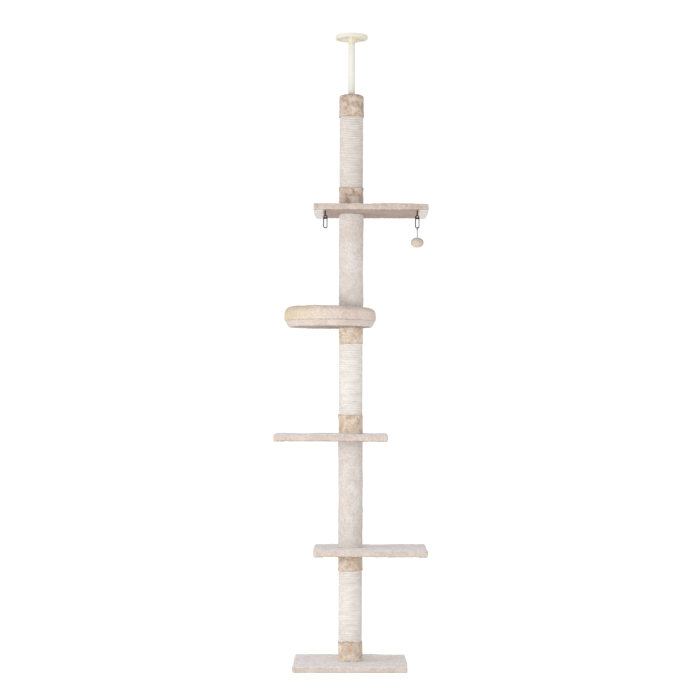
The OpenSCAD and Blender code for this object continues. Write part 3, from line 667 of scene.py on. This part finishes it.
def swept(path, section, side):
    """Rows of points of a section swept along a path; section is along side and outward."""
    heading = np.gradient(path, axis=0)
    heading /= np.linalg.norm(heading, axis=1, keepdims=True)
    out = np.cross(heading, np.broadcast_to(np.array(side, float), path.shape))
    out /= np.linalg.norm(out, axis=1, keepdims=True)
    across = np.cross(out, heading)
    section = np.asarray(section)
    return (path[:, None] + across[:, None] * section[None, :, 0:1]
            + out[:, None] * section[None, :, 1:2])


def make_piece(name, skin, finish, body=TREE, replaces=()):
    """A piece that rides on a body, wears its finishes and may stand for CAD nodes."""
    piece = put(name, skin.mesh(name))
    for worn in [finish] if isinstance(finish, str) else finish:
        piece.data.materials.append(FINISHES[worn])
    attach(piece, body)
    if replaces:
        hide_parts(*replaces)
    return piece


# ---- plush ----

PILE_STEP = 2.1 * MM  # distance between the points of a round piece of plush
PANEL_STEP = PILE_STEP * 1.08
SWELL_SIZE = 60 * MM
CLUMP_SIZE = 16 * MM
DEEPEST = -1.2  # millimetres that a hollow may sink, so that no board shows through


def raise_pile(skin, seed, swell=1.0, clump=0.7, tuft=1.5, nap=(0, 0, -0.5), cell=6.5 * MM):
    """Gives a smooth skin its pile: slow swells, domed tufts that lean along the nap, loose tips.

    swell, clump and tuft are heights in millimetres, and cell is the distance between tufts."""
    points, out = skin.points, skin.normals()
    dome = 1 - np.clip(tuft_distance(points, cell, seed) / 0.75, 0, 1) ** 2
    tips = np.random.default_rng(seed).random(len(points)) ** 2
    slow = swell * noise(points, SWELL_SIZE, seed) + clump * noise(points, CLUMP_SIZE, seed + 1)
    slow = np.maximum(slow, DEEPEST)
    slow *= 1 - 0.7 * np.clip(-out[:, 2], 0, 1)  # a face that looks down is stretched flatter
    rise = tuft * (dome - 0.45) + 0.7 * tips
    lean = np.array(nap) - out * (out @ np.array(nap))[:, None]
    skin.points = points + (out * (slow + rise)[:, None] + lean * (tuft * dome + tips)[:, None]) * MM
    # high on tuft domes and tips, low between tufts, where the finishes paint shade
    skin.marks["pile"] = np.clip(0.15 + 0.65 * dome + 0.35 * tips, 0, 1)
    skin.marks.setdefault("edge", np.zeros(len(points)))


def band_profile(low, high, r_in, r_out, edge_low, edge_high):
    """Closed profile of a band of plush: along its foot, up its face and back over its head."""
    foot = [(r_in, low)] + arc((r_out - edge_low, low + edge_low), edge_low, -90, 0, 5)
    head = arc((r_out - edge_high, high - edge_high), edge_high, 0, 90, 5) + [(r_in, high)]
    rise = np.linspace(low + edge_low, high - edge_high, max(3, int((high - low) / PILE_STEP)))
    return foot + [(r_out, z) for z in rise[1:-1]] + head


POST_R = 42 * MM  # about the radius of a post with its plush


def round_post(points):
    """For points round the posts' axis: angle, and outward direction without a height."""
    angle = np.arctan2(points[:, 1], points[:, 0])
    return angle, np.column_stack([np.cos(angle), np.sin(angle), np.zeros(len(points))])


def fray(skin, low, high, end, seed):
    """Cut edge of a cuff where it meets the rope: it wanders, stands off and shows its woven back.

    end is -1 for the band's foot and 1 for its head."""
    points = skin.points
    _, outward = round_post(points)
    ring = outward * POST_R
    from_edge = (points[:, 2] - low) if end < 0 else (high - points[:, 2])
    near = 1 - smooth_step(from_edge, 0, 18 * MM)
    wander = 2.2 * noise(ring, 24 * MM, seed) + 1.3 * noise(ring, 8 * MM, seed + 1)
    points[:, 2] += near * (end * wander - 0.2 * end) * MM
    points += outward * (near ** 2 * (1.5 + 1.3 * noise(ring, 15 * MM, seed + 2)) * MM)[:, None]
    strength = 0.62 + 0.38 * noise(ring, 13 * MM, seed + 3)
    skin.marks["edge"] = (1 - smooth_step(from_edge, 0.3 * MM, 3.4 * MM)) * strength


def part_seam(skin, seed):
    """The two edges of a wrapped band of plush meet at the back of the post."""
    depth, half_width = 2.6 * MM, 1.7 * MM
    points = skin.points
    angle, outward = round_post(points)
    height = np.column_stack([points[:, 2], np.zeros(len(points)), np.full(len(points), seed * MM)])
    off = np.abs(angle - math.pi / 2 - 0.03 * noise(height, 50 * MM, seed)) * POST_R
    outer = np.hypot(points[:, 0], points[:, 1]) > POST_R - 4 * MM
    points -= outward * (depth * outer * np.exp(-(off / half_width) ** 2))[:, None]


PILE_ROOM = 0.6 * MM  # how far a smooth skin stays inside its CAD node, so that pile can rise
CAP_CLOTH = 2.4 * MM  # thickness of the plush on the cap


def plush_band(nodes, name, finish, seed, frayed=0, round_top=2.5 * MM):
    """Plush glued round a tube. frayed is -1 or 1 for the end whose cut edge meets rope.

    With a second node, the plush goes on over the top of it, up to the prop."""
    low, high = box(nodes[0])
    top = max(box(node)[1][2] for node in nodes) - 0.8 * MM
    r_out = (high[0] - low[0]) / 2 - PILE_ROOM
    profile = band_profile(low[2], top, r_out - 6 * MM, r_out, 2.5 * MM, round_top)
    if len(nodes) > 1:
        nut_low, nut_high = box("prop_nut")
        hole = (nut_high[0] - nut_low[0]) / 2 + 0.4 * MM
        rim = r_out - round_top
        profile += [(r, top) for r in np.linspace(rim, hole, 12)]
        profile += [(hole, top - CAP_CLOTH), (rim, top - CAP_CLOTH)]
    skin = grid_skin(lathe(profile, int(2 * math.pi * r_out / PILE_STEP)), closed_rows=True)
    if frayed:
        fray(skin, low[2], top, frayed, seed + 5)
    part_seam(skin, seed + 8)
    raise_pile(skin, seed)
    if len(nodes) > 1:
        skin.marks["edge"] += 0.35 * smooth_step(skin.points[:, 2], top - 6 * MM, top - 2 * MM)
    make_piece(name, skin, finish, replaces=nodes)


def plush_panel(node, seed, edge=5 * MM, foot=1.2 * MM, front="plush_shelf", under="plush_under_painted_shade",
                lower_rim_painted_shadow=0.0):
    """Plush wrapped round a board: thick soft rims, and slightly uneven faces.

    foot is how far its underside stays above the node's, which leaves room for folded flaps.
    lower_rim_painted_shadow darkens the lower rim with painted shadow, where it stands on the floor."""
    low, high = box(node)
    low = low + np.array([PILE_ROOM, PILE_ROOM, foot])
    high = high - np.array([PILE_ROOM, PILE_ROOM, 0.1 * MM])
    skin, side = box_skin(low, high, PANEL_STEP)
    skin.points = rounded(skin.points, low, high, 7 * MM, edge)
    # the underside wears a darker copy with painted shade, the top a lighter copy with painted light
    skin.wears = np.choose(side, [0, 0, 0, 0, 2, 1])  # front on all four sides, under, and top
    raise_pile(skin, seed, swell=1.9, clump=1.0, nap=(0, -0.4, -0.3))
    skin.points[:, 2] = np.maximum(skin.points[:, 2], 0.2 * MM)
    # painted shadow along the lower rim, next to the floor
    skin.marks["edge"] += lower_rim_painted_shadow * (1 - smooth_step(skin.points[:, 2], low[2], low[2] + 5 * MM))
    make_piece(node + "_plush", skin, [front, "plush_top_painted_light", under], replaces=[node])


def shelf_hem(shelf, side, seed):
    """End flap of the plush, folded under the shelf and stapled to it. side is -1 or 1 along x."""
    width, inset = 31 * MM, np.array([3, 4]) * MM
    low, high = box(f"shelf_{shelf}_cover")
    x_low = low[0] + inset[0] if side < 0 else high[0] - inset[0] - width
    hem_low = np.array([x_low, low[1] + inset[1], low[2] - 1.3 * MM])
    hem_high = np.array([x_low + width, high[1] - inset[1], low[2] + 3.5 * MM])
    skin, _ = box_skin(hem_low, hem_high, PANEL_STEP)
    skin.points = rounded(skin.points, hem_low, hem_high, 5 * MM, 1.9 * MM)
    inner = (skin.points[:, 0] - hem_low[0]) if side > 0 else (hem_high[0] - skin.points[:, 0])
    edge = np.exp(-(inner / (6 * MM)) ** 2)
    skin.points[:, 0] += side * edge * 2.4 * MM * noise(skin.points, 30 * MM, seed + 3)
    skin.marks["edge"] = 0.7 * np.exp(-(inner / (2.2 * MM)) ** 2)
    raise_pile(skin, seed, swell=0.6, clump=0.5, nap=(side * 0.5, 0, 0))
    name = f"shelf_{shelf}_hem_" + ("left" if side < 0 else "right")
    make_piece(name, skin, "plush_pale")


# ---- sisal ----

ROPE_R = 3.05 * MM
ROPE_PITCH = 6.0 * MM  # height of one turn
ROPE_TUCK = 5 * MM  # how far the rope goes on under each cuff
ROPE_LAY = 22 * MM  # length of rope in which its strands turn by one strand
ROPE_SEGMENTS = 84
ROPE_SIDES = 12


def rope(node, seed, finish):
    """Three-strand sisal rope wound as one helix, its ends tucked under the cuffs."""
    low, high = box(node)
    wound_r = (high[0] - low[0]) / 2 - ROPE_R + 0.4 * MM
    z_low, z_high = low[2] - ROPE_TUCK, high[2] + ROPE_TUCK
    turns = int((z_high - z_low) / ROPE_PITCH)
    rows = turns * ROPE_SEGMENTS + 1
    turn = np.linspace(0, turns * 2 * math.pi, rows)[:, None]
    section = full_turn(ROPE_SIDES)[None, :]
    strand_turn = turn * wound_r / ROPE_LAY * 2 * math.pi / 3
    strand = np.cos(3 * (section - strand_turn))
    along = np.column_stack([turn[:, 0] * wound_r, np.zeros(rows), np.full(rows, seed * MM)])
    slack = noise(along, 30 * MM, seed)[:, None]
    radius = ROPE_R * (1 + 0.11 * strand)
    out = np.cos(section)
    out = np.where(out < 0, out * 0.6, out)  # pressed flatter against the tube
    r = wound_r + radius * out + 0.35 * MM * slack
    z = z_low + (z_high - z_low) * turn / turn[-1] + radius * np.sin(section) + 0.4 * MM * slack
    points = polar(r, turn, z)
    points += np.random.default_rng(seed).normal(0, 0.09 * MM, points.shape)
    skin = grid_skin(points[:, ::-1], caps=True)
    # on the flat map each turn is one upright strip
    row = np.arange(rows - 1).repeat(ROPE_SIDES)
    strip, place = row // ROPE_SEGMENTS, (row % ROPE_SEGMENTS)[:, None]
    skin.flat[:, :, 0] = (strip[:, None] + skin.flat[:, :, 0]) / turns * 0.98
    skin.flat[:, :, 1] = (place + np.array([0, 0, 1, 1])[None, :]) / ROPE_SEGMENTS * 0.98
    # painted shade: darker where the rope faces inward and between its strands
    valley_shade = np.clip(0.55 + 0.45 * out + 0.25 * strand, 0, 1)
    skin.marks["pile"] = np.broadcast_to(valley_shade, r.shape)[:, ::-1].ravel()
    make_piece(node + "_rope", skin, finish, replaces=[node])


def backing(node, finish):
    """Glued fibre dust between the turns of rope, so that no tube shows through; darkened with painted shade
    between the turns.
    """
    low, high = box(node)
    r_out = (high[0] - low[0]) / 2 - 1.7 * MM
    profile = [(r_out - 2 * MM, low[2]), (r_out, low[2]), (r_out, high[2]), (r_out - 2 * MM, high[2])]
    skin = grid_skin(lathe(profile, 96), closed_rows=True)
    # low pile mark: the finish paints shade here, between the turns
    skin.marks["pile"] = np.full(len(skin.points), 0.4)
    make_piece(node + "_backing", skin, finish)


# ---- padded pieces ----

def on_mesh(skin, change):
    """Runs change on a temporary object with this skin, and reads the skin back from the result."""
    def read(rows, key, width, kind=np.float32):
        values = np.empty(len(rows) * width, dtype=kind)
        rows.foreach_get(key, values)
        return values

    thing = put("shaping", skin.mesh("shaping"))
    data = change(thing)
    points = read(data.vertices, "co", 3).reshape(-1, 3).astype(float)
    corners = read(data.loops, "vertex_index", 1, np.int32).reshape(-1, 4)
    flat = read(data.uv_layers["OFBake"].uv, "vector", 2).reshape(-1, 4, 2)
    bpy.data.objects.remove(thing)
    return Skin(points, corners, flat)


def evaluated(thing):
    """The mesh of an object with its modifiers applied."""
    graph = bpy.context.evaluated_depsgraph_get()
    return bpy.data.meshes.new_from_object(thing.evaluated_get(graph))


PRESSURE = 4.0
FRAMES = 20


def inflated(skin, sewn, reach, growth):
    """Puffs a closed skin up as cloth, held at its sewn points; no point moves more than reach."""
    before = skin.points

    def puff(thing):
        group = thing.vertex_groups.new(name="sewn")
        group.add([int(i) for i in np.flatnonzero(sewn)], 1.0, "REPLACE")
        cloth = thing.modifiers.new("puff", "CLOTH")
        cloth.settings.quality = 6
        cloth.settings.vertex_group_mass = "sewn"
        cloth.settings.use_pressure = True
        cloth.settings.uniform_pressure_force = PRESSURE
        cloth.settings.shrink_min = -growth
        cloth.settings.effector_weights.gravity = 0
        cloth.collision_settings.use_collision = False
        cloth.point_cache.frame_start = 1
        cloth.point_cache.frame_end = FRAMES
        for frame_number in range(1, FRAMES + 1):
            bpy.context.scene.frame_set(frame_number)
        data = evaluated(thing)
        bpy.context.scene.frame_set(1)
        return data

    made = on_mesh(skin, puff)
    move = made.points - before
    length = np.linalg.norm(move, axis=1, keepdims=True)
    made.points = before + move * np.minimum(1, reach / np.maximum(length, 1e-9))
    return made


def subdivided(skin):
    """The skin with each face cut into sixteen, and smoothed."""
    def divide(thing):
        smooth = thing.modifiers.new("smooth", "SUBSURF")
        smooth.levels = 2
        return evaluated(thing)
    return on_mesh(skin, divide)


def bolster(seed):
    """Stuffed ring, sewn down along its flat foot."""
    low, high = box("bed_bolster")
    centre = (low + high) / 2
    r_out = (high[0] - low[0]) / 2 - 6 * MM
    r_in = r_out - 32 * MM
    z_low, z_high = low[2] - 0.5 * MM, high[2] - 9.5 * MM
    edge, shoulder = 14 * MM, 20 * MM
    # from the inner wall's foot outwards, past the seam, up the leaning wall and over the top
    outline = (
        arc((r_in + edge, z_low + edge), edge, 180, 262, 5)
        + [(r_out - 10 * MM, z_low), (r_out - 3 * MM, z_low), (r_out + 3 * MM, z_low)]
        + [(r_out + 2 * MM, z_low + 7 * MM), (r_out + 0.5 * MM, z_low + 14 * MM), (r_out, z_low + 21 * MM)]
        + arc((r_out - shoulder, z_high - shoulder), shoulder, 4, 90, 8)
        + arc((r_in + edge, z_high - edge), edge, 100, 170, 5)
    )
    skin = grid_skin(lathe(outline, 168, centre[:2]), closed_rows=True)
    height = skin.points[:, 2] - z_low
    skin = subdivided(inflated(skin, height < 1 * MM, reach=7 * MM, growth=0.06))
    ring = skin.points - centre
    height = skin.points[:, 2] - z_low
    # the stuffing has shifted: fuller at the front left, lower at the right
    fuller = (-0.75 * ring[:, 0] - 0.65 * ring[:, 1]) / r_out
    skin.points[:, 2] += 3.5 * MM * fuller * smooth_step(height, 6 * MM, 44 * MM)
    raise_pile(skin, seed, swell=1.6, nap=(0, 0, -0.4))
    height = skin.points[:, 2] - z_low
    # painted shade in the crease at the bolster's sewn foot
    skin.marks["edge"] = 0.3 * (1 - smooth_step(np.abs(height - 1 * MM), 0, 3 * MM))
    piece = make_piece("bed_bolster_padding", skin, "plush_cream", replaces=["bed_bolster"])


def bed_floor(seed):
    """Plush floor of the bed, and the band round it that leans in below the seam."""
    low, high = box("bed_cover")
    centre = (low + high) / 2
    rim_r = (high[0] - low[0]) / 2 + 0.6 * MM
    foot_r = rim_r - 8 * MM
    z_low, z_high = low[2] + 0.2 * MM, high[2] - 0.2 * MM
    edge, rim, step, around = 5 * MM, 2 * MM, 2.4 * MM, 400
    rings = np.linspace(2 * MM, foot_r - edge, int(foot_r / step))
    rise = z_high - z_low - edge - rim
    outline = [(r, z_low) for r in rings[:-1]]
    outline += arc((foot_r - edge, z_low + edge), edge, -90, -5, 5)
    outline += [(foot_r + (rim_r - foot_r) * s ** 0.7, z_low + edge + rise * s)
                for s in np.linspace(0, 1, 8)[1:-1]]
    outline += arc((rim_r - rim, z_high - rim), rim, 0, 90, 3)
    outline += [(r, z_high) for r in np.linspace(rim_r - 5 * MM, 2 * MM, int(rim_r / step))]
    skin = grid_skin(lathe(outline, around, centre[:2]), caps=True)
    # the bed's underside wears the darker copy of the plush, painted shade
    skin.wears = np.repeat(np.where(np.arange(len(outline) - 1) < len(rings) - 1, 1, 0), around)
    skin.caps_wear = [1, 0]
    raise_pile(skin, seed, swell=0.8, clump=0.6, nap=(0, -0.3, -0.3))
    make_piece("bed_cover_plush", skin, ["plush_shelf", "plush_under_painted_shade"], replaces=["bed_cover"])


# ---- ceiling prop ----

def screw_spindle():
    """Trapezoidal thread below the shoulder, plain pin above it."""
    low, high = box("spindle")
    radius = (high[0] - low[0]) / 2
    shoulder = pivot_of("disc_turn")[2] - 0.2 * MM
    pitch, depth, around = 3 * MM, 0.9 * MM, 28
    heights = np.arange(low[2], shoulder - 2 * MM, 0.5 * MM)[:, None]
    angles = full_turn(around)[None, :]
    phase = (heights / pitch - angles / (2 * math.pi)) % 1.0
    crest = np.clip(np.abs(phase - 0.5) * 6 - 0.75, 0, 1)
    start = smooth_step(heights, low[2], low[2] + 2 * MM)
    r = radius - 0.05 * MM - depth * (1 - crest) - (1 - start) * 1.2 * MM * crest
    thread = polar(r, angles, heights)
    pin_r = 4 * MM
    top = [(radius, shoulder - 2 * MM), (radius, shoulder), (pin_r, shoulder),
           (pin_r, high[2] - 0.5 * MM), (pin_r - 0.5 * MM, high[2])]
    skin = grid_skin(np.concatenate([thread, lathe(top, around)]), caps=True)
    make_piece("screw_spindle", skin, "zinc_steel", "prop_spindle", ["spindle"])


# ---- hangers and toy ----

LINE_STEP = 0.35 * MM  # distance between the points along webbing and cord


def strap(name):
    """Webbing loop round a hook's upper wire, with its ends screwed up under the shelf."""
    node = f"hanger_{name}"
    low, high = box(node)
    axis = pivot_of(f"{name}_hook_swing")
    half = (high[0] - low[0]) / 2
    thick, bend, rib = 0.9 * MM, 1.6 * MM, 0.07 * MM
    radius = axis[2] - low[2] - thick / 2
    tab = (high[1] - low[1]) / 2 - 0.3 * MM
    top = high[2] - thick / 2
    half_line = arc((0, axis[2]), radius, -90, 0, 9) + [(radius, top - bend)]
    half_line += arc((radius + bend, top - bend), bend, 180, 90, 6) + [(tab, top)]
    line = even_line([(-y, z) for y, z in half_line[:0:-1]] + half_line, LINE_STEP)
    path = np.column_stack([np.full(len(line), axis[0]), axis[1] + line[:, 0], line[:, 1]])
    across = np.linspace(-half, half, 13)
    face = [(a, thick / 2 - 0.12 * MM * (abs(a) > 0.9 * half)) for a in across]
    section = np.array(face + [(a, -o) for a, o in face[::-1]])
    ribs = rib * np.cos(np.arange(len(path)) * 2)[:, None] * np.sign(section[:, 1])[None, :]
    rows = swept(path, section, (1, 0, 0))
    rows += (rows - path[:, None]) * (ribs / (thick / 2))[..., None] * np.array([0, 1, 1])
    make_piece(f"webbing_{name}", grid_skin(rows, caps=True), "webbing", replaces=[node])


# Route of the toy's cord from the underside of its knot, in millimetres
CORD_ROUTE = [
    (0, 0, 0), (0, 0, -4), (0.2, 0, -8), (0.3, 0, -12), (0.3, 0, -16),
    (0.2, 0, -20), (0, 0, -25), (0, 0, -28), (0, 0, -31)
]
CORD_DIAMETER = 2.2 * MM
CORD_LAY = 5 * MM  # length in which the cord's plies turn by one ply
CORD_SIDES = 18


def twisted(length_along, around):
    """Radius of a three-ply cord at a place along it, for the angles around it."""
    ply = np.cos(3 * around[None, :] - length_along[:, None] / CORD_LAY * 2 * math.pi)
    return CORD_DIAMETER / 2 * (0.95 + 0.08 * ply)


def toy_cord():
    """The cord from its knot down into the ball."""
    top = box("toy_cord")[1][2]
    exit_point = np.array([*pivot_of("toy_swing")[:2], top])
    route = exit_point + np.array(CORD_ROUTE) * MM
    path = even_line(route, LINE_STEP)
    angle = full_turn(CORD_SIDES)
    ring = polar(twisted(path[0, 2] - path[:, 2], angle), angle, 0.0)
    skin = grid_skin((path[:, None] + ring)[:, ::-1], caps=True)
    piece = make_piece("toy_string", skin, "toy_string", TOY, ["toy_cord"])


def toy_loop():
    """The cord's loop round the hook's lower wire, closed by a knot of tight wraps."""
    axis = pivot_of("toy_swing")
    low, high = box("toy_loop")
    cord_r = CORD_DIAMETER / 2
    loop_r = high[2] - axis[2] - cord_r
    loop_points, knot_points, wraps = 72, 110, 2.5
    around, angle = full_turn(CORD_SIDES), full_turn(loop_points)
    outward = np.column_stack([np.zeros(loop_points), np.cos(angle), np.sin(angle)])
    radius = twisted(angle * loop_r, around)[..., None]
    across = np.sin(around)[None, :, None] * np.array([1.0, 0, 0])
    rows = axis + loop_r * outward[:, None] + radius * (
        np.cos(around)[None, :, None] * outward[:, None] + across)
    make_piece("toy_loop_string", grid_skin(rows, closed_rows=True), "toy_string", TOY, ["toy_loop"])
    knot_low, knot_high = low[2] - 0.4 * MM, axis[2] - loop_r + 0.2 * MM
    t = np.linspace(0, 1, knot_points)
    swirl = t * wraps * 2 * math.pi
    bulge = 1.35 * MM * np.sin(np.clip(t, 0.03, 0.97) * math.pi) ** 0.4
    height = knot_low + cord_r + (knot_high - knot_low - 2 * cord_r) * t
    path = polar(bulge, swirl, height) + np.array([*axis[:2], 0])
    section = np.column_stack([np.cos(around), np.sin(around)]) * cord_r * 0.95
    make_piece("toy_knot", grid_skin(swept(path, section, (0, 0, 1)), caps=True), "toy_string", TOY)


def toy_ball(seed):
    """Stuffed plush ball, a little lumpy, gathered at the top where the cord goes in."""
    low, high = box("toy_ball")
    centre, half = (low + high) / 2, (high - low) / 2
    skin, _ = box_skin(-np.ones(3), np.ones(3), 0.1)
    unit = np.tan(skin.points * math.pi / 4 * 0.98)  # a cube blown up to a ball
    unit /= np.linalg.norm(unit, axis=1, keepdims=True)
    off_axis = np.hypot(unit[:, 0], unit[:, 1])
    shape = unit * half * np.array([0.96, 0.96, 1.03]) - np.array([0, 0, 1.2]) * MM
    shape[:, 2] -= np.exp(-(off_axis / 0.2) ** 2) * np.sign(unit[:, 2]) * 2.0 * MM
    skin.points = shape + centre
    gathered = off_axis < 0.12
    skin = subdivided(inflated(skin, gathered, reach=1.5 * MM, growth=0.05))
    raise_pile(skin, seed, swell=0.5, clump=0.8, tuft=0.8, nap=(0, 0, -0.4), cell=3.6 * MM)
    piece = make_piece("toy_ball_plush", skin, "plush_ball", TOY, ["toy_ball"])


# ---- build ----

def dress_carried_nodes():
    """CAD nodes that keep their own shape get the finish of their record's slot."""
    for name, node in frame["nodes"].items():
        if not node.hide_render:
            node.data.materials.clear()
            node.data.materials.append(FINISHES[SLOT_OF[name]])


def build_decks():
    # the base's lower rim gets painted shadow
    plush_panel("base_cover", 11, edge=3.5 * MM, foot=0.1 * MM, under="plush_shelf", lower_rim_painted_shadow=0.6)
    for k in (1, 2, 3):
        # the top shelf's front wears a darker copy, painted shade
        plush_panel(f"shelf_{k}_cover", 20 + k, front="plush_shelf_3_painted_shade" if k == 3 else "plush_shelf")
        for side in (-1, 1):
            shelf_hem(k, side, 30 + 2 * k + side)


def build_posts():
    # the top post's cuffs wear a darker plush than the others
    cuffs = {1: "plush_honey", 3: "plush_honey", 5: "plush_tan"}
    for i, finish in cuffs.items():
        # the top post's rope wears the darker copy, painted shade
        sisal = "sisal_5" if i == 5 else "sisal"
        rope(f"post_{i}_sisal", 40 + i, sisal)
        backing(f"post_{i}_sisal", sisal)
        plush_band([f"post_{i}_lower_cuff"], f"post_{i}_lower_cuff_plush", finish, 50 + i, frayed=1)
    for i in (1, 3):
        plush_band([f"post_{i}_upper_cuff"], f"post_{i}_upper_cuff_plush", cuffs[i], 60 + i, frayed=-1)
    plush_band(["post_5_upper_cuff", "top_cap_cover"], "top_cuff_plush", cuffs[5], 65, frayed=-1,
               round_top=8 * MM)
    for i in (2, 4):
        plush_band([f"post_{i}_sleeve"], f"post_{i}_sleeve_plush", "plush_pale", 70 + i)


bpy.context.scene.view_settings.view_transform = "Standard"
make_camera()
make_finishes()
toy_cord()
make_stage()
build_decks()
build_posts()
bolster(81)
bed_floor(82)
screw_spindle()
for name in ("left", "right"):
    strap(name)
toy_loop()
toy_ball(90)
dress_carried_nodes()
